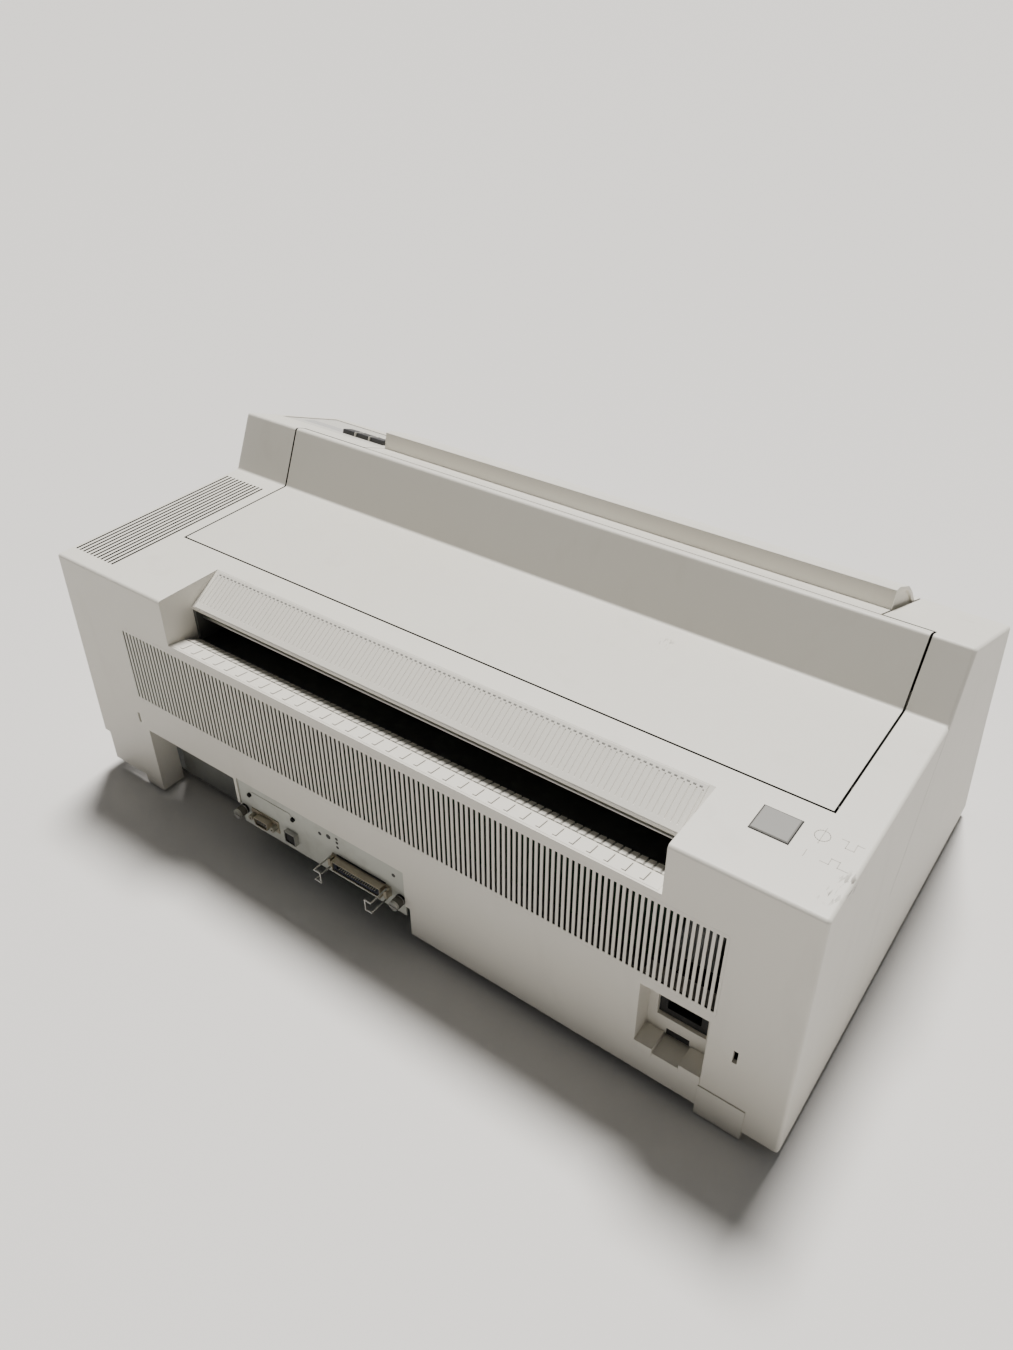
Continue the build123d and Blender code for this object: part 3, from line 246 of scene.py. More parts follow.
SKIRT_Z = 10.0                       # height of that bottom edge
SLOT_PAINT_DEPTH = (0.2, 0.8)        # painted shade darkens the slots' walls between these depths behind the face
GUIDE_CHEEK_X = 199.0                # the guide's painted shade turns paler here, at its cheek
NUT_TOP_Z = (50.0, 52.0)             # the port screws turn from bright to black between these heights
OPEN = (None, None)


def paint_shade_in_case_gaps(s):
    """Painted shade on the walls inside the deck louvres, the button's gap and the seam round the lid."""
    below_deck = (None, DECK_Z - TOP_EDGE)
    s.mix(GAP_WALL_SHADE, s.inside(*region(LOUVRE_X, LOUVRE_DEPTH, below_deck)))
    s.mix(GAP_WALL_SHADE, s.inside(*region(BUTTON_WELL_X, BUTTON_WELL_DEPTH, below_deck)))
    seam_x = (LID_X[0] - SEAM_PAINT, LID_X[1] + SEAM_PAINT)
    s.mix(GAP_WALL_SHADE, s.inside(*region(seam_x, (LID_REAR - SEAM_PAINT, LID_FRONT), (DECK_Z - LID_WELL, None))))


def paint_shade_on_lid_rim(s):
    """Painted shade on the edge faces round the lid, down in its seam."""
    rim = SEAM + RIM_PAINT
    s.mix(GAP_WALL_SHADE, s.inside(*region((LID_X[0] + rim, LID_X[1] - rim), (LID_REAR + rim, None), OPEN),
                              invert=True))


def paint_shade_in_grille_slots(s):
    """Painted shade on the walls inside the slots of the leaning rear grille."""
    lean = REAR_LEAN / (DECK_Z - SKIRT_Z)
    face = REAR_Y + lean * DECK_Z
    shallow, deep = SLOT_PAINT_DEPTH
    s.mix(GAP_WALL_SHADE, s.ramp(s.along((0, 1, lean)), (face - deep) * MM, (face - shallow) * MM, invert=True))


def case_plastic(name, colour=CASE_COLOUR, aged=0.25, gaps=None):
    """Moulded case plastic with a fine spark-eroded grain, slight yellowing and a few scuffs, plus painted
    shade in its gaps where a gaps function is given.
    """
    s = Shader(name, colour, 0.48)
    s.soft_edges(0.0007)
    s.mix(CASE_WARM, s.ramp(s.noise(3.0, 2.0), 0.42, 0.68), aged)
    s.mix(rgb(200, 196, 186), s.ramp(s.noise(38.0, 6.0, (1, 1, 0.3)), 0.60, 0.78), 0.22)
    s.bump(s.noise(900.0, 3.0), 0.00006)
    s.bump(s.noise(2600.0, 1.0), 0.00003)
    streaks = s.ramp(s.noise(420.0, 8.0, (1, 0.25, 1)), 0.52, 0.57)
    for centre, reach, share in SCUFFS:
        s.mix(SCUFF_DARK, s.times(s.near(centre, reach * MM), streaks), share)
    if gaps:
        gaps(s)
    s.roughness(s.noise(60.0, 5.0), 0.40, 0.58)
    return s.done()


def dark_plastic(name, colour, roughness=0.45, grain=700.0):
    """Coloured moulded plastic with fine grain and faint wear."""
    s = Shader(name, colour, roughness)
    s.soft_edges(0.0004)
    lighter = tuple(min(1.0, channel * 1.5 + 0.01) for channel in colour[:3]) + (1.0,)
    s.mix(lighter, s.ramp(s.noise(55.0, 6.0), 0.52, 0.72), 0.35)
    s.bump(s.noise(grain, 3.0), 0.00005)
    s.roughness(s.noise(120.0, 4.0), roughness - 0.08, roughness + 0.10)
    return s.done()


def sheet_metal(name, colour, roughness=0.38, along=(1, 12, 12), spangle=0.25):
    """Plated sheet or ground bar with drawn marks and a slight patina."""
    s = Shader(name, colour, roughness, metallic=1.0)
    s.mix(rgb(120, 118, 112), s.ramp(s.noise(90.0, 5.0), 0.5, 0.75), spangle)
    s.bump(s.noise(700.0, 2.0, along), 0.00002)
    s.roughness(s.noise(260.0, 4.0, along), roughness - 0.1, roughness + 0.12)
    return s.done()


def painted_plate(name, colour):
    """Smooth painted metal with a faint orange-peel and a little grime."""
    s = Shader(name, colour, 0.42, metallic=0.15)
    s.soft_edges(0.0003)
    s.mix(rgb(150, 148, 138), s.ramp(s.noise(70.0, 6.0), 0.5, 0.74), 0.3)
    s.bump(s.noise(420.0, 2.0), 0.00003)
    s.roughness(s.noise(150.0), 0.34, 0.52)
    return s.done()


def guide_plastic(name):
    """Guide painted near-black as the shade inside the slot, paler dark grey at its cheek, with a little dust
    on it.
    """
    # the near-black base colour is painted shade for the dark inside of the slot
    s = Shader(name, rgb(22, 24, 23), 0.55)
    s.mix(rgb(70, 70, 66), s.ramp(s.noise(140.0, 6.0), 0.52, 0.78), 0.35)
    # dark grey at the cheek: lighter painted shade where the slot ends
    s.mix(rgb(74, 75, 72), s.inside(*region((GUIDE_CHEEK_X, None), OPEN, OPEN)), 0.8)
    s.bump(s.noise(800.0, 3.0), 0.00005)
    s.roughness(s.noise(90.0), 0.45, 0.65)
    return s.done()


def black_and_steel_screws(name):
    """Bright nuts low down and blackened screws above them."""
    s = Shader(name, rgb(178, 174, 160), 0.35, metallic=0.9)
    s.mix(rgb(18, 18, 18), s.ramp(s.axis("Z"), *span(NUT_TOP_Z)))
    s.bump(s.noise(900.0, 2.0), 0.00003)
    s.roughness(s.noise(300.0), 0.28, 0.5)
    return s.done()


def circuit_board(name):
    """Green laminate with faint copper tracks under the solder mask."""
    s = Shader(name, rgb(24, 74, 44), 0.35, coat=0.4)
    tracks = s.add("ShaderNodeTexBrick")
    tracks.inputs["Scale"].default_value = 160.0
    tracks.inputs["Mortar Size"].default_value = 0.07
    s.link(s.coords, tracks.inputs["Vector"])
    s.mix(rgb(58, 112, 70), s.ramp(tracks.outputs["Fac"], 0.2, 0.8), 0.6)
    s.bump(tracks.outputs["Fac"], 0.00004)
    return s.done()


def rubber(name, colour):
    """Matt rubber with a rough grain and pale dust."""
    s = Shader(name, colour, 0.8)
    s.mix(rgb(70, 68, 66), s.ramp(s.noise(140.0, 6.0), 0.5, 0.75), 0.35)
    s.bump(s.noise(1200.0, 4.0), 0.00008)
    s.roughness(s.noise(200.0), 0.7, 0.9)
    return s.done()


def smoked_window(name):
    """Glossy dark window with faint smears."""
    s = Shader(name, rgb(24, 24, 28), 0.12, coat=0.8)
    s.mix(rgb(52, 58, 54), s.ramp(s.noise(30.0, 3.0), 0.45, 0.7), 0.4)
    s.bump(s.noise(180.0, 2.0), 0.00001)
    s.roughness(s.noise(220.0, 5.0), 0.08, 0.22)
    return s.done()


MATERIALS = {
    "case_plastic": case_plastic("case_plastic", gaps=paint_shade_in_case_gaps),
    "lid_plastic": case_plastic("lid_plastic", rgb(224, 221, 212), aged=0.18, gaps=paint_shade_on_lid_rim),
    "panel_plastic": case_plastic("panel_plastic", rgb(206, 204, 197), aged=0.15),
    "display_plastic": smoked_window("display_plastic"),
    "key_plastic": dark_plastic("key_plastic", rgb(52, 52, 54)),
    "button_plastic": dark_plastic("button_plastic", rgb(136, 135, 131), 0.5),
    "black_plastic": dark_plastic("black_plastic", rgb(24, 24, 25), 0.4),
    "dark_insulator": dark_plastic("dark_insulator", rgb(24, 30, 48), 0.35),
    "plated_pin": sheet_metal("plated_pin", rgb(214, 210, 198), 0.25, spangle=0.1),
    "zinc_sheet": sheet_metal("zinc_sheet", rgb(158, 160, 158), 0.42),
    "module_plate": painted_plate("module_plate", rgb(196, 198, 190)),
    "guide_plastic": guide_plastic("guide_plastic"),
    "bright_steel": sheet_metal("bright_steel", rgb(186, 186, 182), 0.3, spangle=0.15),
    "port_shell": sheet_metal("port_shell", rgb(184, 176, 158), 0.42, spangle=0.2),
    "circuit_board": circuit_board("circuit_board"),
    "foot_rubber": rubber("foot_rubber", rgb(34, 33, 32)),
    "roller_rubber": rubber("roller_rubber", rgb(40, 40, 41)),
    "gear_plastic": dark_plastic("gear_plastic", rgb(206, 202, 188), 0.38),
    "motor_metal": painted_plate("motor_metal", rgb(44, 44, 46)),
    "belt_rubber": rubber("belt_rubber", rgb(28, 28, 28)),
    "carriage_metal": sheet_metal("carriage_metal", rgb(150, 150, 150), 0.5, spangle=0.3),
    "screws": black_and_steel_screws("screws"),
    "plain_case": case_plastic("plain_case"),
    "grille": case_plastic("grille", gaps=paint_shade_in_grille_slots),
    "knurl": sheet_metal("knurl", rgb(112, 110, 104), 0.5, spangle=0.3),
    "tick_shadow": dark_plastic("tick_shadow", rgb(112, 108, 100), 0.6),
    "comb_gap_shade": dark_plastic("comb_gap_shade", rgb(150, 148, 142), 0.55),
    "contact_face": dark_plastic("contact_face", rgb(226, 223, 212), 0.3),
    "engraved": dark_plastic("engraved", rgb(196, 193, 184), 0.55),
}
SPECIAL = {                          # nodes whose finish differs from their slot's
    "parallel_contacts": "contact_face",
    "port_screws": "screws",
    "rear_vent_grille": "grille",
    "front_cover": "plain_case",
}

for part in frame["record"]["subparts"]:
    shown = nodes[part["node"]]
    wanted = MATERIALS[SPECIAL.get(part["node"], part["material_slot"])]
    if not shown.material_slots:
        shown.data.materials.append(wanted)
    for material_slot in shown.material_slots:
        material_slot.material = wanted


# ------------------------------------------------------------------ mesh helpers
def finish_piece(name, mesh_data, slot, body="case", material=None, bevel=0.0, smooth=False):
    """Turns a bmesh into an object that rides on a body and takes a slot's finish."""
    bmesh.ops.recalc_face_normals(mesh_data, faces=mesh_data.faces)
    mesh = bpy.data.meshes.new(name)
    mesh_data.to_mesh(mesh)
    mesh_data.free()
    piece = bpy.data.objects.new(name, mesh)
    bpy.context.scene.collection.objects.link(piece)
    mesh.materials.append(material or MATERIALS[slot])
    for polygon in mesh.polygons:
        polygon.use_smooth = smooth
    if bevel:
        rounding = piece.modifiers.new("rounding", "BEVEL")
        rounding.width = bevel
        rounding.segments = 2
        rounding.limit_method = "ANGLE"
    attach(piece, body)


def add_bar(mesh_data, centre, size, turn=None):
    """A bar of a size in millimetres, centred at a point, with an optional rotation."""
    scale = Matrix.Diagonal((size[0] * MM, size[1] * MM, size[2] * MM, 1.0))
    spin = turn.to_4x4() if turn else Matrix.Identity(4)
    bmesh.ops.create_cube(mesh_data, size=1.0, matrix=Matrix.Translation(centre) @ spin @ scale)


SKIN_EDGE = 0.3                      # width of a skin's sloping border
SKIN_LIFT = 0.02                     # how far a skin stands off the face under it
GROOVE_END = 0.4                     # length of the slope at a groove's end
GROOVE_FLOOR = 0.35                  # width of a groove's floor as a share of its mouth
LAST_GROOVE = 0.4                    # share of a pitch that stays free at the far end


def grooved_sheet(mesh_data, x_range, low, high, pitch, groove, depth, rim, first=0.5):
    """A thin moulded skin between two (depth, height) lines, with grooves running from low to high.

    groove is half a groove's width, rim is how far the grooves stop short of the low and the high edge,
    and first is the first groove's place as a share of the pitch."""
    start, end = Vector((0, *low)), Vector((0, *high))
    run = (end - start).length
    along = (end - start) / run
    out = Vector((0, -along.z, along.y))
    if out.z < 0:
        out = -out
    x_low, x_high = x_range
    floor_half = groove * GROOVE_FLOOR
    columns = [(x_low, 0.0), (x_low + SKIN_EDGE, 1.0)]
    x = x_low + pitch * first
    while x < x_high - pitch * LAST_GROOVE:
        columns += [(x - groove, 1.0), (x - floor_half, 0.0), (x + floor_half, 0.0), (x + groove, 1.0)]
        x += pitch
    columns += [(x_high - SKIN_EDGE, 1.0), (x_high, 0.0)]
    rows = [(0.0, 0), (SKIN_EDGE, 1), (rim[0], 1), (rim[0] + GROOVE_END, 2)]
    rows += [(run - rim[1] - GROOVE_END, 2), (run - rim[1], 1), (run - SKIN_EDGE, 1), (run, 0)]
    grid = []
    for offset, state in rows:
        line = []
        for column, (x, level) in enumerate(columns):
            edge = column in (0, len(columns) - 1)
            height = 0.0 if state == 0 or edge else depth if state == 1 else depth * level
            spot = start + along * offset + out * (height + SKIN_LIFT)
            line.append(mesh_data.verts.new(place(x, spot.y, spot.z)))
        grid.append(line)
    for lower, upper in zip(grid, grid[1:]):
        for index in range(len(lower) - 1):
            mesh_data.faces.new((lower[index], lower[index + 1], upper[index + 1], upper[index]))


# ------------------------------------------------------------------ moulded detail at the paper slot
RECESS = (-231.0, 200.0)             # X range of the paper recess
RAMP_LOW = (28.3, 205.5)             # depth and height of the ramp's two edges
RAMP_HIGH = (58.3, 223.45)
RIB_PITCH = 4.27
NOTCH_SIZE = (2.1, 1.0, 0.16)        # painted shade: a dark bar for the notch at the head of each groove
NOTCH_BACK = 3.0                     # distance down the ramp from its high edge
NOTCH_SHIFT = (-0.2, 0.62)           # depth and height that lay the notch on the skin
LEDGE_X = (-231.5, 199.5)
LEDGE_REAR = (0.9, 183.45)           # depth and height of the ledge's two edges
LEDGE_FRONT = (15.2, 181.05)
TICK_PITCH = 12.45
FIRST_TICK = 0.9                     # share of a pitch before the first tick
TICK_LIFT = 0.42                     # the painted tick shadows lie this far above the ledge
TICK_LINE = (8.2, 182.28)            # depth and height of a tick's long line
TICK_LINE_SIZE = (0.55, 9.4, 0.16)
TICK_FOOT = (3.6, 183.05)            # depth and height of its short foot
TICK_FOOT_SIZE = (3.0, 0.6, 0.16)
TICK_FOOT_X = 1.3
COMB_PITCH = 5.95
COMB_COUNT = 73
COMB_REAR = (15.6, 175.5)            # depth and height of the comb's two edges
COMB_FRONT = (27.0, 181.2)
COMB_SHIFT = -0.55                   # the comb's middle lies this far from the recess's
COMB_MARGIN = (-0.5, -1.5)           # the ribs' middles stay between the recess's ends moved by this
COMB_RIB = (21.4, 178.6)             # depth and height of a rib's middle
COMB_RIB_SIZE = (4.5, 12.6, 1.1)
COMB_RIB_SKEW = math.radians(8)
COMB_RIB_BEVEL = 0.3
COMB_GROUND = (20.9, 178.75)         # depth and height of the ground between ribs, painted mid grey as the shade between them
COMB_GROUND_SIZE = (COMB_PITCH, 11.4, 0.5)


def fall_angle(near, far):
    """The slope between two (depth, height) points."""
    return math.atan2(far[1] - near[1], far[0] - near[0])


def build_ramp():
    """Ribbed ramp above the slot, with a dark bar of painted shade for the notch at the head of each groove.
    """
    skin = bmesh.new()
    grooved_sheet(skin, RECESS, RAMP_LOW, RAMP_HIGH, RIB_PITCH, groove=0.45, depth=0.5, rim=(4.5, 4.2))
    finish_piece("ramp_skin", skin, "case_plastic", material=MATERIALS["plain_case"])
    notch_shades = bmesh.new()
    slope = fall_angle(RAMP_LOW, RAMP_HIGH)
    turn = Matrix.Rotation(-slope, 3, "X")
    run = math.hypot(RAMP_HIGH[1] - RAMP_LOW[1], RAMP_HIGH[0] - RAMP_LOW[0]) - NOTCH_BACK
    depth = RAMP_LOW[0] + run * math.cos(slope) + NOTCH_SHIFT[0]
    height = RAMP_LOW[1] + run * math.sin(slope) + NOTCH_SHIFT[1]
    x = RECESS[0] + RIB_PITCH
    while x < RECESS[1] - NOTCH_SIZE[0]:
        add_bar(notch_shades, place(x, depth, height), NOTCH_SIZE, turn)
        x += RIB_PITCH
    finish_piece("ramp_notch_shades", notch_shades, "black_plastic", material=MATERIALS["button_plastic"])


def build_ledge():
    """Ticks along the ledge: grooves in a skin, with dark bars of painted shadow, a fine line towards the
    slot and a short foot.
    """
    skin = bmesh.new()
    grooved_sheet(skin, LEDGE_X, LEDGE_REAR, LEDGE_FRONT, TICK_PITCH, groove=0.42, depth=0.35,
                  rim=(2.2, 0.6), first=FIRST_TICK)
    finish_piece("ledge_skin", skin, "case_plastic", material=MATERIALS["plain_case"])
    tick_shadow_bars = bmesh.new()
    tilt = Matrix.Rotation(-fall_angle(LEDGE_REAR, LEDGE_FRONT), 3, "X")
    x = LEDGE_X[0] + TICK_PITCH * FIRST_TICK
    while x < LEDGE_X[1] - TICK_PITCH * LAST_GROOVE:
        add_bar(tick_shadow_bars, place(x, TICK_LINE[0], TICK_LINE[1] + TICK_LIFT), TICK_LINE_SIZE, tilt)
        add_bar(tick_shadow_bars, place(x + TICK_FOOT_X, TICK_FOOT[0], TICK_FOOT[1] + TICK_LIFT), TICK_FOOT_SIZE, tilt)
        x += TICK_PITCH
    finish_piece("ledge_tick_shadow_bars", tick_shadow_bars, "case_plastic", material=MATERIALS["tick_shadow"])


def build_comb():
    """Pale ribs over the dark guide, with painted shade on the ground between them, ending in a serrated edge
    inside the slot.
    """
    tilt = Matrix.Rotation(fall_angle(COMB_REAR, COMB_FRONT), 3, "X")
    skew = Matrix.Rotation(COMB_RIB_SKEW, 3, "Z")
    middle = (RECESS[0] + RECESS[1]) / 2 + COMB_SHIFT
    ribs, ground = bmesh.new(), bmesh.new()
    for index in range(COMB_COUNT):
        x = middle + (index - (COMB_COUNT - 1) / 2 + 0.5) * COMB_PITCH
        if not RECESS[0] + COMB_MARGIN[0] < x < RECESS[1] + COMB_MARGIN[1]:
            continue
        add_bar(ribs, place(x, *COMB_RIB), COMB_RIB_SIZE, tilt @ skew)
        add_bar(ground, place(x + COMB_PITCH / 2, *COMB_GROUND), COMB_GROUND_SIZE, tilt)
    finish_piece("comb_ribs", ribs, "case_plastic", material=MATERIALS["plain_case"],
                 bevel=COMB_RIB_BEVEL * MM)
    finish_piece("comb_ground", ground, "case_plastic", material=MATERIALS["comb_gap_shade"])


build_ramp()
build_ledge()
build_comb()


# ------------------------------------------------------------------ interface module
def add_ring(mesh_data, x, z, near_depth, far_depth, outer, inner, teeth=48, ripple=0.0):
    """A ring about Y, with an optional ripple of its outer wall for a knurl."""
    rings = []
    for depth in (near_depth, far_depth):
        for base in (outer, inner):
            ring = []
            for step in range(teeth):
                angle = 2 * math.pi * step / teeth
                radius = base + (ripple if base == outer and step % 2 else 0.0)
                ring.append(mesh_data.verts.new(place(x + radius * math.cos(angle), depth,
                                                      z + radius * math.sin(angle))))
            rings.append(ring)
    near_outer, near_inner, far_outer, far_inner = rings
    for step in range(teeth):
        after = (step + 1) % teeth
        mesh_data.faces.new((near_outer[step], near_outer[after], far_outer[after], far_outer[step]))
        mesh_data.faces.new((near_inner[step], far_inner[step], far_inner[after], near_inner[after]))
        mesh_data.faces.new((near_outer[step], near_inner[step], near_inner[after], near_outer[after]))
        mesh_data.faces.new((far_outer[step], far_outer[after], far_inner[after], far_inner[step]))


KNURL_DEPTH = (-8.6, -3.4)           # the thumbscrew's knurled sleeve
KNURL_RIPPLE = 0.22
KNURL_TEETH = 72
UNDERCUT_SHADE_DEPTH = (-2.6, -1.15)         # a black ring behind it, painted shade of the undercut at the head's base
UNDERCUT_SHADE_RISE = 0.45                   # the ring stands this far out from the screw's head
SLEEVE_LIFT = 0.02
SLEEVE_INSET = 0.2                   # the rings reach this far into the head


def build_thumbscrews():
    """A knurled sleeve and a black ring of painted shade at the base of each captive screw."""
    for name in ("thumbscrew_left", "thumbscrew_right"):
        x, z, radius = box_middle(name)
        sleeve = bmesh.new()
        add_ring(sleeve, x, z, *KNURL_DEPTH, radius + SLEEVE_LIFT, radius - SLEEVE_INSET,
                 KNURL_TEETH, KNURL_RIPPLE)
        finish_piece(f"{name}_knurl", sleeve, "bright_steel", name, material=MATERIALS["knurl"])
        undercut_shade = bmesh.new()
        add_ring(undercut_shade, x, z, *UNDERCUT_SHADE_DEPTH, radius + UNDERCUT_SHADE_RISE, radius - SLEEVE_INSET)
        finish_piece(f"{name}_collar", undercut_shade, "black_plastic", name)


def add_disc(mesh_data, x, z, depth, radius, thickness):
    """A flat round piece about Y whose rear-facing side is at a depth."""
    matrix = Matrix.Translation(place(x, depth + thickness / 2, z)) @ Matrix.Rotation(math.pi / 2, 4, "X")
    bmesh.ops.create_cone(mesh_data, cap_ends=True, segments=24, radius1=radius * MM, radius2=radius * MM,
                          depth=thickness * MM, matrix=matrix)


CONTACT_ROWS = ((5, 43.4), (4, 40.6))    # number and height of the serial port's contacts
CONTACT_PITCH = 2.76
CONTACT_RADIUS = 0.5
CONTACT_LENGTH = 1.0
CONTACT_FRONT = -6.1
SERIAL_INSERT = (-4.2, 42.0)         # depth and height of the insert's middle
SERIAL_INSERT_SIZE = (14.4, 3.0, 6.0)
USB_SOCKET_SHADE = (-2.6, 41.5)            # depth and height of the middle of the socket's dark inside, a black box of painted shade
USB_SOCKET_SHADE_SIZE = (10.2, 2.4, 9.7)
PARALLEL_SHADOW = (16.0, -1.3, 50.1)   # painted shadow of the parallel port's shell: a dark line where the shell meets the plate
PARALLEL_SHADOW_SIZE = (50.6, 0.7, 1.1)
PARALLEL_SHADOW_BEVEL = 0.1
HOLE_DEPTH = -0.95
HOLE_THICKNESS = 0.5
PLATE_HOLES = (                      # X, height and radius of the holes in the interface plate, each drawn as a black disc of painted shade
    (58.0, 63.7, 1.8), (48.6, 65.6, 2.4), (-18.0, 64.0, 1.8),
    (39.6, 68.0, 1.5), (39.6, 64.0, 1.5), (39.6, 59.0, 1.5),
)


def build_ports():
    """Contacts and black insert of the serial port, and painted shade: inside the USB socket, along the
    parallel port's shell and in the holes of the plate that carries the ports.
    """
    serial_x = box_middle("serial_port")[0]
    contacts = bmesh.new()
    for count, z in CONTACT_ROWS:
        for index in range(count):
            x = serial_x + (index - (count - 1) / 2) * CONTACT_PITCH
            add_disc(contacts, x, z, CONTACT_FRONT, CONTACT_RADIUS, CONTACT_LENGTH)
    finish_piece("serial_contacts", contacts, "plated_pin", smooth=True)
    insert = bmesh.new()
    add_bar(insert, place(serial_x, *SERIAL_INSERT), SERIAL_INSERT_SIZE)
    finish_piece("serial_insert", insert, "black_plastic")
    socket_shade = bmesh.new()
    add_bar(socket_shade, place(box_middle("usb_port")[0], *USB_SOCKET_SHADE), USB_SOCKET_SHADE_SIZE)
    finish_piece("usb_socket_shade", socket_shade, "black_plastic")
    shell_shadow = bmesh.new()
    add_bar(shell_shadow, place(*PARALLEL_SHADOW), PARALLEL_SHADOW_SIZE)
    finish_piece("parallel_shell_shadow", shell_shadow, "black_plastic", bevel=PARALLEL_SHADOW_BEVEL * MM)
    hole_shades = bmesh.new()
    for x, z, radius in PLATE_HOLES:
        add_disc(hole_shades, x, z, HOLE_DEPTH, radius, HOLE_THICKNESS)
    finish_piece("plate_hole_shades", hole_shades, "black_plastic")


build_thumbscrews()
build_ports()


BUTTON_SIZE = (23.4, 21.6)           # X and depth of the power button's cap
BUTTON_DEPTH = 50.2
GAP_MIDDLE = 0.42                    # from the cap's edge to the middle of the gap round it
SHADE_BAR_WIDTH = 0.5
SHADE_BAR_HEIGHT = 0.6
SHADE_BAR_DROP = 0.35                   # from the deck down to the painted shade's middle
LEAD_NOTCH = (-251.3, 13.85, 43.2)   # painted shade at the inlet pocket's lead notch
LEAD_NOTCH_SIZE = (17.0, 0.3, 5.0)


def build_gap_shade_bars():
    """Painted shade: dark bars in the gap round the power button and a dark patch at the lead notch of the
    inlet pocket.
    """
    button_x = box_middle("power_button")[0]
    half_x, half_d = (size / 2 + GAP_MIDDLE for size in BUTTON_SIZE)
    z = DECK_Z - SHADE_BAR_DROP
    side_bar = (SHADE_BAR_WIDTH, 2 * half_d + SHADE_BAR_WIDTH, SHADE_BAR_HEIGHT)
    end_bar = (2 * half_x + SHADE_BAR_WIDTH, SHADE_BAR_WIDTH, SHADE_BAR_HEIGHT)
    shade_bars = bmesh.new()
    for side in (-1, 1):
        add_bar(shade_bars, place(button_x + side * half_x, BUTTON_DEPTH, z), side_bar)
        add_bar(shade_bars, place(button_x, BUTTON_DEPTH + side * half_d, z), end_bar)
    add_bar(shade_bars, place(*LEAD_NOTCH), LEAD_NOTCH_SIZE)
    finish_piece("gap_shade_bars", shade_bars, "black_plastic")


build_gap_shade_bars()


# ------------------------------------------------------------------ markings beside the button
STROKE_WIDTH = 0.5
STROKE_HEIGHT = 0.1
STROKE_OVERLAP = 0.8                 # share of a stroke's width that it runs past its ends
MARK_LIFT = 0.02                     # from the deck up to a stroke's middle
CIRCLE_MIDDLE = (-302.0, 57.0)
CIRCLE_RADIUS = 4.5
CIRCLE_STEPS = 20
STROKES = (                          # the straight generic marks, as (X, depth) points
    ((-302, 50), (-302, 64)),
    ((-312, 61), (-316, 61), (-316, 55), (-321, 55), (-321, 61), (-325, 61)),
    ((-299, 42), (-299, 36)),
    ((-308, 38), (-313, 38), (-313, 43), (-318, 43), (-318, 38), (-324, 38)),
)


def add_stroke(mesh_data, points):
    """A thin engraved line on the deck through (x, depth) points."""
    z = DECK_Z + MARK_LIFT
    for (x0, d0), (x1, d1) in zip(points, points[1:]):
        start, end = place(x0, d0, z), place(x1, d1, z)
        angle = math.atan2(end.y - start.y, end.x - start.x)
        length = (end - start).length / MM + STROKE_WIDTH * STROKE_OVERLAP
        turn = Matrix.Rotation(angle, 3, "Z")
        add_bar(mesh_data, (start + end) / 2, (length, STROKE_WIDTH, STROKE_HEIGHT), turn)


def build_markings():
    """A circle and four plain line marks beside the power button."""
    marks = bmesh.new()
    turns = [step * 2 * math.pi / CIRCLE_STEPS for step in range(CIRCLE_STEPS + 1)]
    x, depth = CIRCLE_MIDDLE
    circle = [(x + CIRCLE_RADIUS * math.cos(turn), depth + CIRCLE_RADIUS * math.sin(turn)) for turn in turns]
    add_stroke(marks, circle)
    for points in STROKES:
        add_stroke(marks, points)
    finish_piece("deck_marks", marks, "case_plastic", material=MATERIALS["engraved"])


build_markings()


# ------------------------------------------------------------------ stage
FLOOR_HALF = 40.0                    # metres


def build_stage():
    """A plain pale floor."""
    floor_mesh = bpy.data.meshes.new("floor")
    corners = [(x * FLOOR_HALF, y * FLOOR_HALF, 0) for x, y in ((-1, -1), (1, -1), (1, 1), (-1, 1))]
    floor_mesh.from_pydata(corners, [], [(0, 1, 2, 3)])
    floor = bpy.data.objects.new("floor", floor_mesh)
    bpy.context.scene.collection.objects.link(floor)
    s = Shader("floor", rgb(224, 222, 219), 0.7)
    s.bump(s.noise(90.0, 4.0), 0.0001)
    floor_mesh.materials.append(s.done())


LAMP_WARM = (1.0, 0.975, 0.94)
SUN_SOURCE = (0.12, -0.36, 1.0)      # the direction the light comes from
SUN_SOFTNESS = 14.0                  # degrees across
SUN_STRENGTH = 6.2
SKY_STRENGTH = 0.20
SKY_BRIGHT = (0.15, -0.60, 0.78)     # direction of the sky's brightest part
SKY_FALL = (-0.25, 0.75)             # cosines to that direction between which the sky brightens
SKY_DARKEST = 0.08


def add_sun(name, source, softness, strength):
    """A soft distant light that shines from a direction towards the object."""
    light = bpy.data.lights.new(name, "SUN")
    light.angle = math.radians(softness)
    light.energy = strength
    light.color = LAMP_WARM
    lamp = bpy.data.objects.new(name, light)
    lamp.rotation_mode = "QUATERNION"
    lamp.rotation_quaternion = Vector(source).to_track_quat("Z", "Y")
    bpy.context.scene.collection.objects.link(lamp)


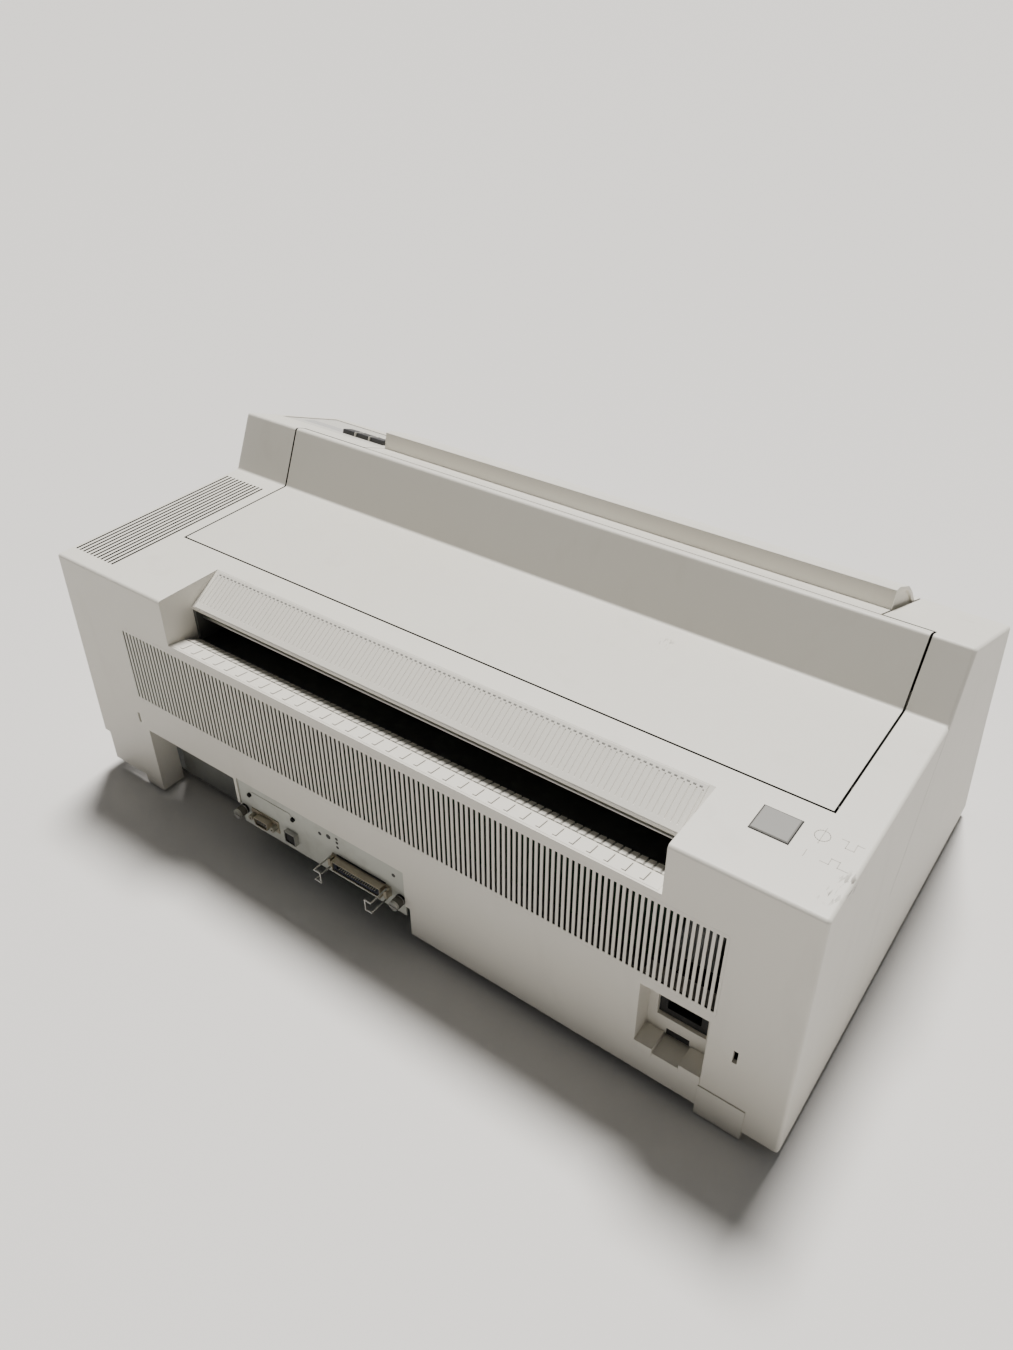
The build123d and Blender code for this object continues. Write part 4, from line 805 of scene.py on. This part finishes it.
def build_world():
    """A dim sky, brightest above the user's side and darkest behind the rear."""
    world = bpy.data.worlds.new("studio")
    bpy.context.scene.world = world
    world.use_nodes = True
    tree = world.node_tree
    background = tree.nodes["Background"]
    background.inputs["Strength"].default_value = SKY_STRENGTH
    direction = tree.nodes.new("ShaderNodeTexCoord").outputs["Generated"]
    overhead = tree.nodes.new("ShaderNodeVectorMath")
    overhead.operation = "DOT_PRODUCT"
    overhead.inputs[1].default_value = SKY_BRIGHT
    tree.links.new(direction, overhead.inputs[0])
    fall = tree.nodes.new("ShaderNodeMapRange")
    fall.inputs["From Min"].default_value = SKY_FALL[0]
    fall.inputs["From Max"].default_value = SKY_FALL[1]
    fall.inputs["To Min"].default_value = SKY_DARKEST
    fall.inputs["To Max"].default_value = 1.0
    tree.links.new(overhead.outputs["Value"], fall.inputs["Value"])
    tint = tree.nodes.new("ShaderNodeCombineXYZ")
    for axis in "XYZ":
        tree.links.new(fall.outputs["Result"], tint.inputs[axis])
    tree.links.new(tint.outputs["Vector"], background.inputs["Color"])


build_stage()
build_world()
add_sun("ceiling", SUN_SOURCE, SUN_SOFTNESS, SUN_STRENGTH)


# ------------------------------------------------------------------ camera
VIEW_AZIMUTH = math.radians(216.39)
VIEW_ELEVATION = math.radians(36.38)
VIEW_ROLL = math.radians(-0.605)
VIEW_FROM = (-409.6, -387.3, 649.0)  # X, depth and height of the camera
LENS = 28.03
SENSOR = 36.0
camera_data = bpy.data.cameras.new("camera")
camera_data.lens = LENS
camera_data.sensor_width = SENSOR
camera_data.clip_start = 0.02
camera_data.clip_end = 50.0
camera = bpy.data.objects.new("camera", camera_data)
bpy.context.scene.collection.objects.link(camera)
towards_camera = Vector((
    math.sin(VIEW_AZIMUTH) * math.cos(VIEW_ELEVATION),
    -math.cos(VIEW_AZIMUTH) * math.cos(VIEW_ELEVATION),
    math.sin(VIEW_ELEVATION),
))
camera.location = place(*VIEW_FROM)
level = (-towards_camera).to_track_quat("-Z", "Y")
camera.rotation_mode = "QUATERNION"
camera.rotation_quaternion = level @ Matrix.Rotation(VIEW_ROLL, 3, "Z").to_quaternion()
bpy.context.scene.camera = camera
